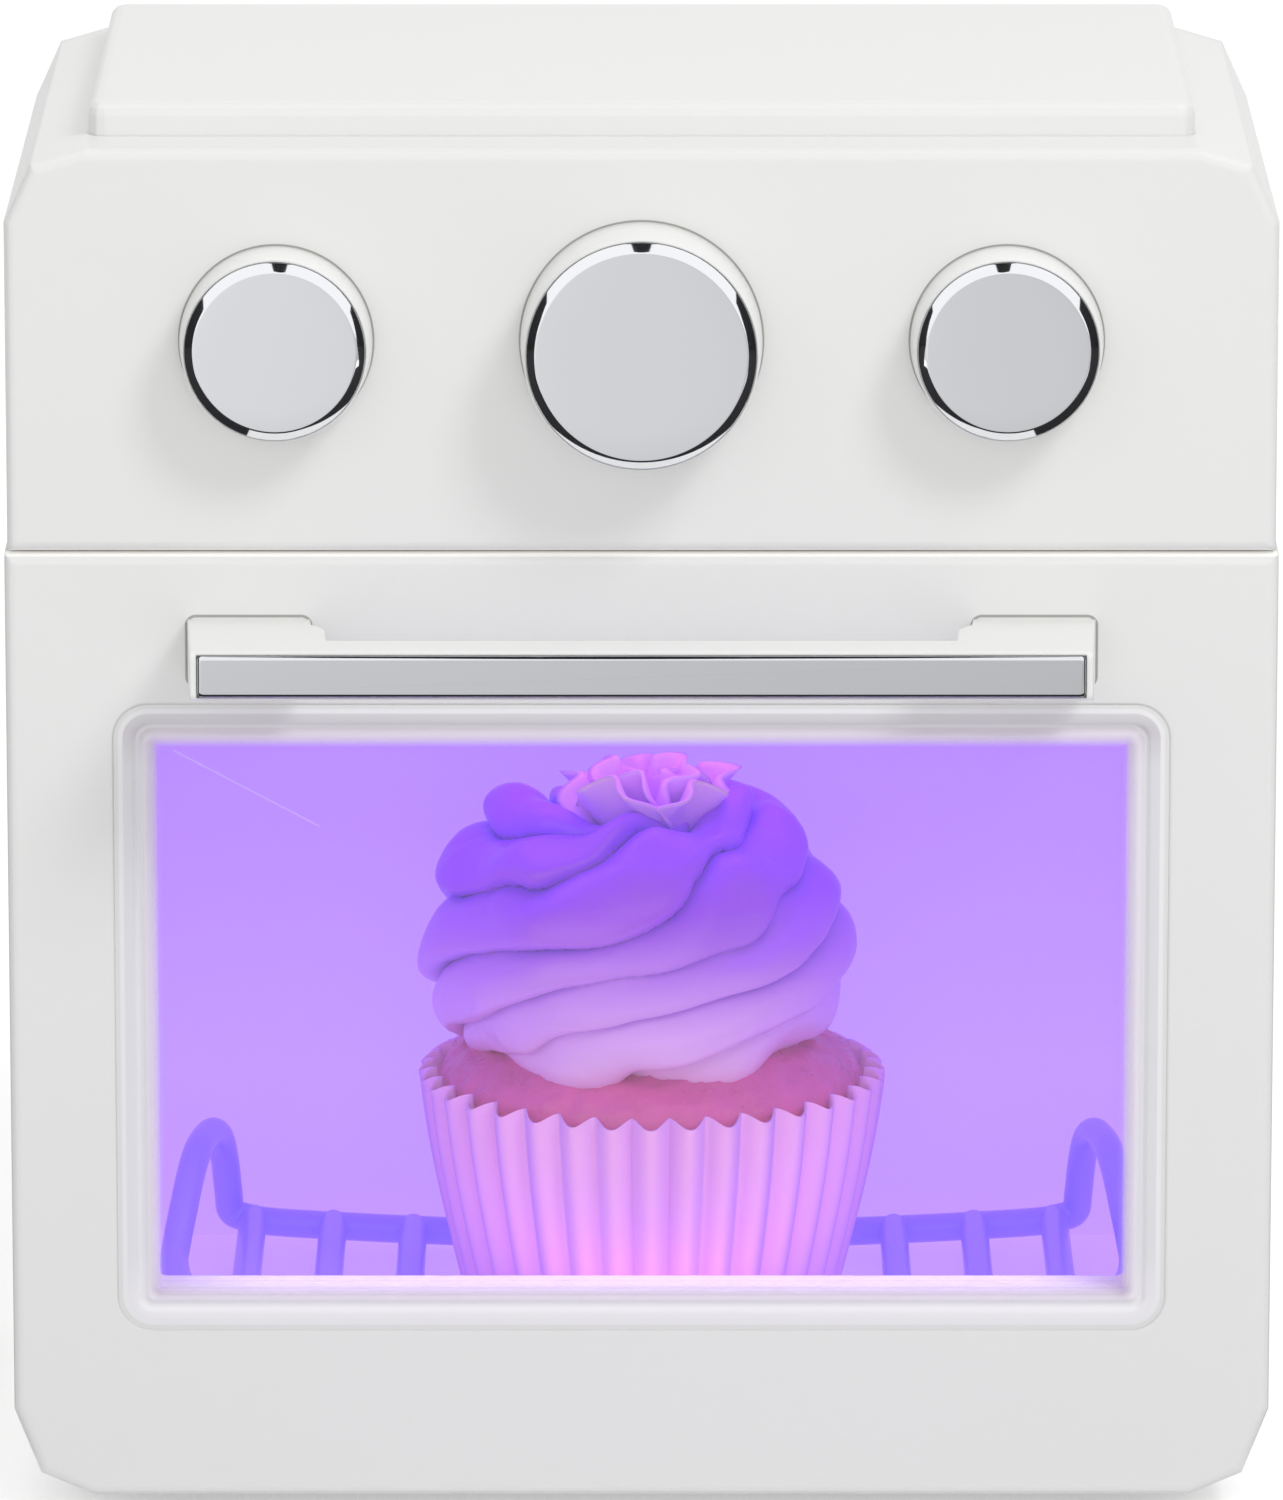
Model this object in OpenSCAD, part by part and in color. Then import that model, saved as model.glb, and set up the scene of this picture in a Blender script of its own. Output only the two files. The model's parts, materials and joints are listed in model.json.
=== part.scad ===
// Toy oven with a drop-down window door, three knobs, a violet curing light and a play cupcake.
// Millimetres. +X is the oven's right seen from the front, +Y runs to its back and +Z is up.
// The modules are drawn with y = 0 on the face of the control panel and z = 0 on the table.

/* [Cabinet] */
// Width of the cabinet
body_w = 120; // [116:0.5:126]
// Height of the front face, from the underside to the top
body_h = 131.7; // [130:0.5:138]
// Depth from the control panel's face to the back
body_d = 68; // [67:0.5:76]
// Height of the control panel
panel_h = 38.6; // [37:0.2:41]
// Thickness of the moulded walls
wall = 2.2; // [1.8:0.1:2.4]
// Thickness of the wall behind the door
bay_wall = 2.6; // [2.2:0.1:3]
// Rounding of the front edges
edge_r = 0.9; // [0.5:0.1:1.2]
// How far a cut corner runs along the top or the bottom
corner_run = 7.6; // [6:0.2:9]
// How far a top corner runs down the side
top_rise = 7; // [6:0.2:9]
// How far a bottom corner runs up the side
bottom_rise = 8.6; // [7:0.2:10]
// How far the middle point of a corner lies in from the side
corner_in = 2.5; // [1.5:0.1:3]
// How far the middle point of a top corner lies below the top
corner_drop = 1.5; // [1:0.1:2.5]
// How far the middle point of a bottom corner lies above the underside
corner_lift = 2.2; // [1:0.1:3]
// Thickness of the rear cover
cover_t = 2; // [1.6:0.1:2.4]

/* [Raised top] */
// Width of the raised field on the top
plateau_w = 104.6; // [96:0.5:106]
// Distance from the control panel's face to the raised field
plateau_front = 7.3; // [6:0.1:12]
// Distance from the raised field to the back
plateau_back = 5.4; // [4:0.1:10]
// Height of the raised field
plateau_h = 3.2; // [2.6:0.1:4]
// Rounding of its upper edge
plateau_r = 1.3; // [0.8:0.1:1.6]

/* [Door] */
// Thickness of the door
door_t = 8; // [7.6:0.1:9]
// Gap between the door and the control panel
door_gap = 0.3; // [0.25:0.05:1]
// Gap between the door's back and the cabinet
bay_gap = 0.6; // [0.5:0.05:1]
// How far each side of the door stands proud of the cabinet
door_proud = 0.3; // [0:0.05:0.5]
// Thickness of the door's outer shell
door_wall = 2; // [1.8:0.1:2.4]
// Thickness of the door's inner shell
inner_t = 1.8; // [1.4:0.1:2.2]
// Distance from the middle of the door to each hinge lug
lug_x = 44; // [40:0.5:45]
// Width of a hinge lug
lug_w = 4; // [3:0.2:5]
// Radius of a hinge pin
pin_r = 1; // [0.8:0.05:1.1]
// Length of a hinge pin
pin_l = 12; // [10:0.5:13]

/* [Window] */
// Height from the door's lower edge to the window opening
window_sill = 19.85; // [18:0.05:22]
// Height from the window opening to the door's upper edge
window_head = 17.65; // [16:0.05:20]
// Distance from the side of the liner to the window opening
window_in = 3; // [2.6:0.1:5]
// Corner radius of the window opening
window_r = 1.3; // [1:0.1:2]
// Border of the clear pane that laps the opening
pane_lap = 3.1; // [2.4:0.1:3.6]
// Corner radius of the clear pane
pane_r = 3.3; // [2.4:0.1:4]
// Thickness of the clear pane
pane_t = 1.4; // [1.2:0.1:1.5]

/* [Handle] */
// Width of the handle at the door
handle_w = 86; // [80:0.5:90]
// How far the handle reaches in front of the door
handle_reach = 15; // [13:0.2:15.4]
// Front-to-back thickness of the handle's bar
bar_t = 5.3; // [4.8:0.1:6]
// Height of the handle's bar
bar_h = 4.7; // [4.4:0.1:5.4]
// Distance from the door's upper edge to the top of the handle
handle_drop = 6; // [5.4:0.1:7]
// Width of a handle post at the door
post_w = 11.6; // [10:0.2:13]
// Rim of the white bar round the chrome strip
trim_rim = 0.35; // [0.3:0.05:0.6]

/* [Knobs] */
// Height of the knobs' middle above the control panel's lower edge
knob_rise = 20.4; // [19.6:0.2:21]
// Distance from the middle knob to each side knob
knob_gap = 34.4; // [33.6:0.2:36]
// Radius of a side knob at the panel
side_knob_r = 9.1; // [8.6:0.1:9.6]
// How far a side knob stands in front of the panel
side_knob_h = 5.4; // [5:0.1:7]
// Radius of the middle knob at the panel
main_knob_r = 11.4; // [10.6:0.1:12]
// How far the middle knob stands in front of the panel
main_knob_h = 7.5; // [6.5:0.1:9]
// Radius of the knobs' shafts
shaft_r = 2.5; // [2.2:0.1:2.8]
// Running clearance round a shaft or a pin
run_gap = 0.05; // [0.04:0.01:0.08]

/* [Oven liner] */
// Space between the cabinet's wall and the liner, on each side
side_space = 6.4; // [6.2:0.1:7.4]
// Thickness of the liner's walls
liner_wall = 1.4; // [1.2:0.1:1.6]
// Height of the oven's floor above the cabinet's underside
floor_rise = 9.4; // [9.2:0.1:9.8]
// Height of the oven's ceiling above the window opening
ceiling_rise = 3.4; // [2:0.1:3.8]
// Depth of the space behind the liner
rear_space = 4.6; // [4:0.1:5]
// Inside corner radius of the liner
liner_r = 3; // [2:0.2:4]

/* [Rack] */
// Radius of the rack's wire
wire_r = 1.42; // [1.2:0.02:1.5]
// Distance between two bars
bar_pitch = 8.03; // [7.6:0.01:8.1]
// How far the rack's rims hang down in the middle
rack_sag = 1.7; // [1.2:0.1:2]
// Height of the side loops above the rack's corners
loop_h = 11.6; // [9:0.2:13]
// Front-to-back width of a side loop
loop_w = 24.5; // [20:0.5:26]
// How far the front foot of a loop is splayed outward
loop_splay = 4.1; // [2:0.1:4.2]
// How far the loose rack lies to the right of the middle
rack_shift = 1.2; // [0:0.1:1.4]

/* [Play cupcake] */
// Radius of the fluted case at its rim
case_r = 22.3; // [20:0.1:22.6]
// Radius of the fluted case at its base
case_base_r = 18.4; // [17:0.1:19]
// Height of the fluted case
case_h = 21.4; // [19:0.2:23]
// Number of flutes
flutes = 36; // [30:1:40]
// Depth of a flute, from its middle line
flute_d = 0.75; // [0.4:0.05:0.8]
// Height of the swirled frosting
frosting_h = 25; // [22:0.5:26]
// Widest radius of the frosting
frosting_r = 20.2; // [18:0.1:20.6]
// How far the frosting sits to the left of the case's middle
frosting_shift = 1.1; // [0:0.1:1.5]
// Number of folds in the frosting
frosting_folds = 6; // [5:1:8]
// Height from one fold to the next
fold_rise = 6.2; // [5:0.1:8]
// Depth of the crease between two folds
fold_d = 2.2; // [1:0.1:2.6]
// Widest radius of the petals on the frosting
petal_r = 8.6; // [6:0.1:9]
// Height of the petals
petal_h = 4.2; // [3:0.1:4.6]

/* [Feet] */
// Height of the rubber feet
foot_h = 1.6; // [1.4:0.1:2.4]
// Radius of a rubber foot
foot_r = 5; // [4:0.2:6]

/* [Hidden] */
$fn = 64;

// Colours of the plastics and metals
shell_white = [0.89, 0.89, 0.885];
bright_white = [0.95, 0.95, 0.94];
chrome_grey = [0.78, 0.79, 0.81];
steel_grey = [0.6, 0.61, 0.63];
lilac = [0.76, 0.62, 1];
violet = [0.58, 0.43, 1];
pink = [0.93, 0.62, 0.95];
board_green = [0.12, 0.36, 0.22];
dark_grey = [0.16, 0.16, 0.17];

// Small distances: lap makes cuts run clean through, the others keep pieces just apart
lap = 0.1;
snug = 0.05;
loose = 0.3;

// Heights and depths that several pieces share
base_z = foot_h;
top_z = base_z + body_h;
door_h = body_h - panel_h - door_gap;
door_top = base_z + door_h;
panel_z = door_top + door_gap;
bay_y = door_t + bay_gap;
shell_back = body_d - cover_t;
seam_y = door_t - inner_t;
hinge_r = door_t / 2;
hinge_y = hinge_r;
hinge_z = base_z + hinge_r;
knob_z = panel_z + knob_rise;

// The liner, and the window that looks into it
liner_w = body_w - 2 * (wall + side_space + liner_wall);
floor_z = base_z + floor_rise;
window_w = liner_w - 2 * window_in;
window_lo = base_z + window_sill;
window_hi = door_top - window_head;
window_h = window_hi - window_lo;
window_z = (window_lo + window_hi) / 2;
ceiling_z = window_hi + ceiling_rise;
liner_h = ceiling_z - floor_z;
liner_z = (ceiling_z + floor_z) / 2;
liner_back = shell_back - rear_space;
cavity_back = liner_back - liner_wall;
flange_t = 1;
flange_lap = 1.4;

// The handle and the screws that hold it
trim_proud = 0.2;
trim_t = 1.1;
bar_back = handle_reach - bar_t;
handle_top = door_top - handle_drop;
screw_x = (handle_w - post_w) / 2;
screw_z = handle_top - bar_h / 2 - 0.6;

// The whole oven stands with the middle of its bounding box over the origin
mid_y = (body_d - handle_reach - trim_proud) / 2;

// Screws: pilot_r is the hole that a thread bites into
screw_r = 0.9;
pilot_r = screw_r + snug;
pass_r = 1.15;
head_r = 2;
head_t = 1.3;
boss_r = 2.6;

// The three cells, laid across the back of the cabinet above the liner
cell_r = 5.2;
cell_l = 44.5;
cell_pitch = 11;
cell_count = 3;
contact_room = 1.6;
tray_wall = 1.2;
tray_half = cell_l / 2 + contact_room;
tray_h = cell_count * cell_pitch;
tray_z = ceiling_z + liner_wall + 13.5;
tray_depth = 2 * cell_r + 1.2;
cell_y = shell_back - cell_r - 0.4;
lid_screw_x = tray_half + tray_wall + boss_r + 2.2;
lid_rim = 1.8;
screw_seat = body_d - head_t - 0.05;
lid_boss_r = head_r + 0.9;

// The light board over the liner, and the control board behind the panel
led_gap = 3;
board_t = 1.2;
led_board_z = ceiling_z + liner_wall + led_gap;
led_board_w = 60;
led_pitch = 8;
led_row = 5;
led_r = 1.15;
led_base_r = 1.6;
led_base_t = 0.5;
led_board_d = 30;
led_mid_y = (bay_y + liner_back) / 2;
lens_w = 46;
lens_d = 20;
board_w = 54;
board_h = 26;
switch_w = 15;
switch_d = 5.6;
switch_y = wall + 5.2;
board_y = switch_y + switch_d;
rotor_r = 4.8;
bushing_l = 3.6;
clip_t = 0.8;
clip_r = 5;

// Rear-cover screws: place and the direction of the rib to the nearest wall
cover_screw_spots = [
    [-(body_w / 2 - 12), base_z + 5, 0, -1], [body_w / 2 - 12, base_z + 5, 0, -1],
    [-(body_w / 2 - 5.4), panel_z - 7, -1, 0], [body_w / 2 - 5.4, panel_z - 7, 1, 0],
    [-(body_w / 2 - 11), top_z - 6.8, 0, 1], [body_w / 2 - 11, top_z - 6.8, 0, 1]];
boss_l = 14;

// The catch: magnets in the door's upper corners and steel plates behind them
catch_x = body_w / 2 - 10;
catch_z = door_top - 5.4;
magnet_r = 2.5;
magnet_t = 2;
strike_r = 3;
strike_t = 0.8;

// The rack and what stands on it
rack_half = liner_w / 2 - 7.3;
rack_front = bay_y + 5;
rack_rear = cavity_back - 5.5;
rack_z = floor_z + wire_r + rack_sag + 0.1;
bars_each_side = 5;
cup_x = 0.9;
cup_y = (bay_y + liner_back) / 2 - 1;
case_wall = 0.45;

// Outlines, as points in the plane of the front face

function mirrored(right) = concat(right, [for (i = [len(right) - 1:-1:0]) [-right[i][0], right[i][1]]]);

function bottom_corner(half) = [[half - corner_run, base_z], [half - corner_in, base_z + corner_lift],
    [half, base_z + bottom_rise]];

function top_corner(half) = [[half, top_z - top_rise], [half - corner_in, top_z - corner_drop],
    [half - corner_run, top_z]];

body_outline = mirrored(concat(bottom_corner(body_w / 2), top_corner(body_w / 2)));
panel_outline = mirrored(concat([[body_w / 2, panel_z]], top_corner(body_w / 2)));
door_outline = mirrored(concat(bottom_corner(body_w / 2 + door_proud),
    [[body_w / 2 + door_proud, door_top]]));

function unit(v) = v / norm(v);

function outward(a, b) = let (d = unit(b - a)) [d[1], -d[0]];

// The outline moved in by d, with each side kept parallel to itself
function inset(p, d) = let (n = len(p)) [for (i = [0:n - 1])
    let (a = outward(p[(i + n - 1) % n], p[i]), b = outward(p[i], p[(i + 1) % n]))
    p[i] - d * (a + b) / (1 + a * b)];

function rect(w, h, z) = [[w / 2, z - h / 2], [w / 2, z + h / 2], [-w / 2, z + h / 2], [-w / 2, z - h / 2]];

// Solids from outlines

// A closed solid through rings that all have the same number of points
module skin(rings) {
    n = len(rings[0]);
    m = len(rings);
    caps = [[for (j = [0:n - 1]) j], [for (j = [n - 1:-1:0]) (m - 1) * n + j]];
    sides = [for (i = [0:m - 2], j = [0:n - 1], half = [0, 1]) let (k = (j + 1) % n)
        half == 0 ? [i * n + j, (i + 1) * n + j, (i + 1) * n + k] : [i * n + j, (i + 1) * n + k, i * n + k]];
    polyhedron([for (r = rings) each r], concat(caps, sides));
}

// A plate of the outline, from y0 to y1
module plate_y(y0, y1) translate([0, y1, 0]) rotate([90, 0, 0]) linear_extrude(y1 - y0) children();

// The same, with its front and back edges rounded
module pillow(points, y0, y1, front_r, back_r = 0) {
    steps = 3;
    fronts = front_r == 0 ? [[0, y0]]
        : [for (k = [0:steps]) let (a = 90 * k / steps)
            [front_r * (1 - sin(a)), y0 + front_r * (1 - cos(a))]];
    backs = back_r == 0 ? [[0, y1]]
        : [for (k = [0:steps]) let (a = 90 * k / steps) [back_r * (1 - cos(a)), y1 - back_r * (1 - sin(a))]];
    skin([for (s = concat(backs_reversed(backs), backs_reversed(fronts)))
        [for (p = inset(points, s[0])) [p[0], s[1], p[1]]]]);
}

function backs_reversed(list) = [for (i = [len(list) - 1:-1:0]) list[i]];

// A plate with rounded corners, drawn flat
module rounded(w, h, r) {
    square([w, h - 2 * r], center = true);
    square([w - 2 * r, h], center = true);
    for (x = [-1, 1], y = [-1, 1]) translate([x * (w / 2 - r), y * (h / 2 - r)]) circle(r);
}

module box(x0, x1, y0, y1, z0, z1) translate([x0, y0, z0]) cube([x1 - x0, y1 - y0, z1 - z0]);

module x_rod(r, x0, x1, y, z) translate([x0, y, z]) rotate([0, 90, 0]) cylinder(r = r, h = x1 - x0);

module y_rod(r, y0, y1, x, z) translate([x, y0, z]) rotate([-90, 0, 0]) cylinder(r = r, h = y1 - y0);

module z_rod(r, z0, z1, x, y) translate([x, y, z0]) cylinder(r = r, h = z1 - z0);

// A pan-head screw whose head faces +Y, with its seat at y
module screw_y(x, z, seat, reach) {
    y_rod(screw_r, seat - reach, seat + lap, x, z);
    difference() {
        y_rod(head_r, seat, seat + head_t, x, z);
        for (turn = [0, 90]) translate([x, seat + head_t, z]) rotate([0, turn, 0])
            cube([head_r * 1.3, 1, 0.5], center = true);
    }
}

module in_frame() translate([0, -mid_y, 0]) children();

// Cabinet

module plateau() {
    depth = body_d - plateau_front - plateau_back;
    steps = 3;
    corner = 1.6;
    ring_r = [for (k = [0:steps]) let (a = 90 * k / steps) [plateau_r * (1 - cos(a)), plateau_r * sin(a)]];
    levels = concat([[0, top_z - 1]], [for (s = ring_r) [s[0], top_z + plateau_h - plateau_r + s[1]]]);
    skin([for (l = levels) [for (q = [0:3], a = [0:30:90])
        let (sx = [1, -1, -1, 1][q], sy = [1, 1, -1, -1][q], t = q * 90 + a)
        [sx * (plateau_w / 2 - corner) + (corner - min(l[0], corner)) * cos(t) - sx * max(l[0] - corner, 0),
         plateau_front + depth / 2 + sy * (depth / 2 - corner) + (corner - min(l[0], corner)) * sin(t),
         l[1]]]]);
}

module hinge_lugs() {
    reach = hinge_r - 1.3;
    for (side = [-1, 1]) translate([side * lug_x, 0, 0]) {
        x_rod(reach, -lug_w / 2, lug_w / 2, hinge_y, hinge_z);
        box(-lug_w / 2, lug_w / 2, hinge_y, bay_y + lap, hinge_z - reach, hinge_z + reach / 2);
    }
}

module cover_bosses() for (s = cover_screw_spots) {
    y_rod(boss_r, shell_back - boss_l, shell_back, s[0], s[1]);
    translate([s[0], 0, s[1]]) rotate([0, s[3] == 0 ? (s[2] > 0 ? 0 : 180) : (s[3] > 0 ? -90 : 90), 0])
        box(0, s[3] > 0 ? 6.2 : 4.4, shell_back - boss_l, shell_back, -1, 1);
}

module knob_bushings() for (x = [-knob_gap, 0, knob_gap])
    y_rod(shaft_r + 1.7, wall - lap, wall + bushing_l, x, knob_z);

function board_spots() = [for (x = [-1, 1], z = [-1, 1])
    [x * (board_w / 2 - 3.4), knob_z + z * (board_h / 2 - 3)]];

module board_posts() for (s = board_spots()) y_rod(2.2, wall - lap, board_y, s[0], s[1]);

// Two notched ribs that hold the door sensor's glass tube
sensor_y = bay_y + bay_wall + 1.5;
sensor_l = 10;
sensor_r = 1.1;

module sensor_cradle() difference() {
    for (x = [-3, 3]) translate([catch_x - 4 + x, 0, catch_z])
        box(-0.6, 0.6, bay_y + bay_wall - lap, sensor_y, -2.2, 2.2);
    x_rod(sensor_r + snug, catch_x - 12, catch_x + 4, sensor_y, catch_z);
}

module shell_solid() {
    pillow(panel_outline, 0, bay_y + bay_wall, edge_r);
    plate_y(bay_y, shell_back) polygon(body_outline);
    plateau();
    hinge_lugs();
}

module shell_hollow() {
    plate_y(wall, bay_y + bay_wall + lap) polygon(inset(panel_outline, wall));
    plate_y(bay_y + bay_wall, shell_back + lap) polygon(inset(body_outline, wall));
    box(-plateau_w / 2 + wall, plateau_w / 2 - wall, plateau_front + wall, body_d - plateau_back - wall,
        top_z - wall - lap, top_z + plateau_h - wall);
}

module liner_hole() {
    plate_y(bay_y - lap, bay_y + bay_wall + lap) translate([0, liner_z])
        rounded(liner_w + 2 * (liner_wall + snug), liner_h + 2 * (liner_wall + snug), liner_r + liner_wall);
    plate_y(bay_y - lap, bay_y + flange_t + snug) translate([0, liner_z])
        rounded(liner_w + 2 * (liner_wall + flange_lap + snug),
            liner_h + 2 * (liner_wall + flange_lap + snug),
            liner_r + liner_wall + flange_lap);
}

module cabinet_shell() in_frame() color(shell_white) difference() {
    union() {
        difference() {
            shell_solid();
            shell_hollow();
            liner_hole();
        }
        cover_bosses();
        knob_bushings();
        board_posts();
        sensor_cradle();
    }
    for (x = [-knob_gap, 0, knob_gap]) y_rod(shaft_r + run_gap, -lap, wall + bushing_l + lap, x, knob_z);
    for (side = [-1, 1]) {
        x_rod(pin_r + run_gap, side * lug_x - lug_w, side * lug_x + lug_w, hinge_y, hinge_z);
        y_rod(strike_r + snug, bay_y - lap, bay_y + strike_t, side * catch_x, catch_z);
    }
    for (s = cover_screw_spots) y_rod(pilot_r, shell_back - boss_l + 3, shell_back + lap, s[0], s[1]);
    for (s = board_spots()) y_rod(pilot_r, wall + 2, board_y + lap, s[0], s[1]);
    for (s = foot_spots) z_rod(foot_peg_r + snug, base_z - lap, base_z + wall + lap, s[0], s[1]);
}

// Rear cover, with vent slots low down and the battery opening high up

slot_count = 7;
slot_l = 26;
slot_w = 1.8;
slot_pitch = 4.2;

module vent_slots() for (x = [-1, 1], i = [0:slot_count - 1])
    plate_y(shell_back - lap, body_d + lap) translate([x * 19, base_z + 28 + i * slot_pitch])
        rounded(slot_l, slot_w, slot_w / 2 - 0.01);

module lid_outline(gap) {
    x0 = -tray_half - lid_rim;
    x1 = lid_screw_x + boss_r + 0.6;
    translate([(x0 + x1) / 2, tray_z + tray_h / 2])
        rounded(x1 - x0 - 2 * gap, tray_h + 2 * lid_rim - 2 * gap, 2);
}

module back_cover() in_frame() color(shell_white) difference() {
    union() {
        pillow(body_outline, shell_back, body_d, 0, edge_r);
        difference() {
            plate_y(shell_back - 2.4, shell_back + lap) difference() {
                polygon(inset(body_outline, wall + 0.15));
                polygon(inset(body_outline, wall + 1.5));
            }
            for (s = cover_screw_spots) translate([s[0], shell_back - 4, s[1]])
                cube([3 * boss_r + 6, 12, 4.2 * boss_r], center = true);
        }
        y_rod(lid_boss_r + 1.4, shell_back - 6, shell_back + lap, lid_screw_x, tray_z + tray_h / 2);
    }
    for (s = cover_screw_spots) {
        y_rod(pass_r, shell_back - lap, body_d + lap, s[0], s[1]);
        y_rod(head_r + 0.2, screw_seat, body_d + lap, s[0], s[1]);
    }
    plate_y(shell_back - lap, body_d + lap) translate([0, tray_z + tray_h / 2])
        square([2 * tray_half, tray_h], center = true);
    plate_y(body_d - 1.2, body_d + lap) lid_outline(0);
    y_rod(lid_boss_r + 0.15, screw_seat - 0.85, body_d + lap, lid_screw_x, tray_z + tray_h / 2);
    y_rod(pilot_r, shell_back - 5, body_d, lid_screw_x, tray_z + tray_h / 2);
    vent_slots();
}

module cover_screws() in_frame() color(steel_grey)
    for (s = cover_screw_spots) screw_y(s[0], s[1], screw_seat, 9);

module battery_door() in_frame() color(shell_white) difference() {
    union() {
        plate_y(body_d - 1.15, body_d) lid_outline(0.15);
        y_rod(lid_boss_r, screw_seat - 0.8, body_d, lid_screw_x, tray_z + tray_h / 2);
        for (x = [-1, 1]) box(x * 12 - 3, x * 12 + 3, shell_back - 1, body_d - 1.1,
            tray_z + lap, tray_z + 1.1);
    }
    for (i = [0:4]) plate_y(body_d - 0.4, body_d + lap)
        translate([-tray_half / 2, tray_z + tray_h / 2 + (i - 2) * 3]) square([14, 1], center = true);
    y_rod(pass_r, body_d - 3, body_d + lap, lid_screw_x, tray_z + tray_h / 2);
    y_rod(head_r + 0.2, screw_seat, body_d + lap, lid_screw_x, tray_z + tray_h / 2);
}

module battery_door_screw() in_frame() color(steel_grey)
    screw_y(lid_screw_x, tray_z + tray_h / 2, screw_seat, 4.6);

// Battery tray: open to the rear, with a cradle rib between neighbouring cells

module battery_tray() in_frame() color(dark_grey) {
    difference() {
        box(-tray_half - tray_wall, tray_half + tray_wall, shell_back - tray_depth - tray_wall, shell_back,
            tray_z - tray_wall, tray_z + tray_h + tray_wall);
        box(-tray_half, tray_half, shell_back - tray_depth, shell_back + lap, tray_z, tray_z + tray_h);
    }
    difference() {
        for (i = [1:cell_count - 1], x = [-1, 0, 1])
            box(x * 14 - 1, x * 14 + 1, shell_back - tray_depth - lap,
            cell_y, tray_z + i * cell_pitch - 2.4, tray_z + i * cell_pitch + 2.4);
        for (i = [0:cell_count - 1]) x_rod(cell_r + 0.15, -tray_half, tray_half, cell_y,
            tray_z + (i + 0.5) * cell_pitch);
    }
}

module battery_contacts() in_frame() color(steel_grey)
    for (i = [0:cell_count - 1], side = [-1, 1]) translate([0, 0, tray_z + (i + 0.5) * cell_pitch]) {
        x0 = side > 0 ? tray_half - 0.5 : -tray_half + snug;
        box(x0, x0 + 0.45, cell_y - 3.5, cell_y + 3.5, -4, 4);
        x_rod(1.6, side > 0 ? cell_l / 2 + snug : -tray_half + 0.4,
            side > 0 ? tray_half - 0.4 : -cell_l / 2 - snug,
            cell_y, 0);
    }

module battery_cells() in_frame() color(steel_grey)
    for (i = [0:cell_count - 1]) translate([0, cell_y, tray_z + (i + 0.5) * cell_pitch])
        rotate([0, i % 2 == 0 ? 90 : -90, 0]) {
            translate([0, 0, -cell_l / 2]) cylinder(r = cell_r, h = cell_l - 1);
            translate([0, 0, cell_l / 2 - 1 - lap]) cylinder(r = 1.9, h = 1 + lap);
        }

// Oven liner, its light window and the board above it

module liner_box(w, h, r, y0, y1) plate_y(y0, y1) translate([0, liner_z]) rounded(w, h, r);

function led_posts() = [for (x = [-1, 1], y = [-1, 1])
    [x * (led_board_w / 2 - 3), led_mid_y + y * (led_board_d / 2 - 3)]];

module oven_liner() in_frame() color(lilac) difference() {
    union() {
        liner_box(liner_w + 2 * liner_wall, liner_h + 2 * liner_wall, liner_r + liner_wall, bay_y, liner_back);
        liner_box(liner_w + 2 * (liner_wall + flange_lap), liner_h + 2 * (liner_wall + flange_lap),
            liner_r + liner_wall + flange_lap, bay_y, bay_y + flange_t);
        for (s = led_posts()) z_rod(2, ceiling_z + lap, led_board_z, s[0], s[1]);
    }
    liner_box(liner_w, liner_h, liner_r, bay_y - lap, cavity_back);
    box(-lens_w / 2, lens_w / 2, led_mid_y - lens_d / 2, led_mid_y + lens_d / 2,
        ceiling_z - lap, ceiling_z + liner_wall + lap);
    for (s = led_posts()) z_rod(pilot_r, ceiling_z + liner_wall, led_board_z + lap, s[0], s[1]);
}

module light_diffuser() in_frame() color([0.93, 0.88, 1, 0.8]) {
    box(-lens_w / 2 + 0.1, lens_w / 2 - 0.1, led_mid_y - lens_d / 2 + 0.1, led_mid_y + lens_d / 2 - 0.1,
        ceiling_z, ceiling_z + liner_wall + lap);
    box(-lens_w / 2 - 1, lens_w / 2 + 1, led_mid_y - lens_d / 2 - 1, led_mid_y + lens_d / 2 + 1,
        ceiling_z + liner_wall, ceiling_z + liner_wall + 0.5);
}

module led_board() in_frame() color(board_green) difference() {
    box(-led_board_w / 2, led_board_w / 2, led_mid_y - led_board_d / 2, led_mid_y + led_board_d / 2,
        led_board_z, led_board_z + board_t);
    for (s = led_posts()) z_rod(pass_r, led_board_z - lap, led_board_z + board_t + lap, s[0], s[1]);
}

module uv_leds() in_frame() color(violet) for (i = [-2:2], side = [-1, 1])
    translate([i * led_pitch, led_mid_y + side * led_row, led_board_z]) rotate([180, 0, 0]) {
        cylinder(r = led_base_r, h = led_base_t);
        cylinder(r = led_r, h = led_r);
        translate([0, 0, led_r]) sphere(led_r - 0.01);
    }

module led_board_screws() in_frame() color(steel_grey) for (s = led_posts()) {
    z_rod(screw_r, ceiling_z + liner_wall + 0.5, led_board_z + board_t + lap, s[0], s[1]);
    z_rod(head_r, led_board_z + board_t, led_board_z + board_t + head_t, s[0], s[1]);
}

// Control board and the switch that the middle knob turns

module main_board() in_frame() color(board_green) difference() {
    plate_y(board_y, board_y + board_t) translate([0, knob_z]) square([board_w, board_h], center = true);
    for (s = board_spots()) y_rod(pass_r, board_y - lap, board_y + board_t + lap, s[0], s[1]);
}

module main_board_screws() in_frame() color(steel_grey)
    for (s = board_spots()) screw_y(s[0], s[1], board_y + board_t, 6);

module rotary_switch() in_frame() color(dark_grey) difference() {
    plate_y(switch_y, board_y) translate([0, knob_z]) square([switch_w, switch_w], center = true);
    y_rod(rotor_r + 0.3, switch_y + 1, board_y + lap, 0, knob_z);
    y_rod(shaft_r + 0.3, switch_y - lap, switch_y + 2, 0, knob_z);
}

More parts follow.
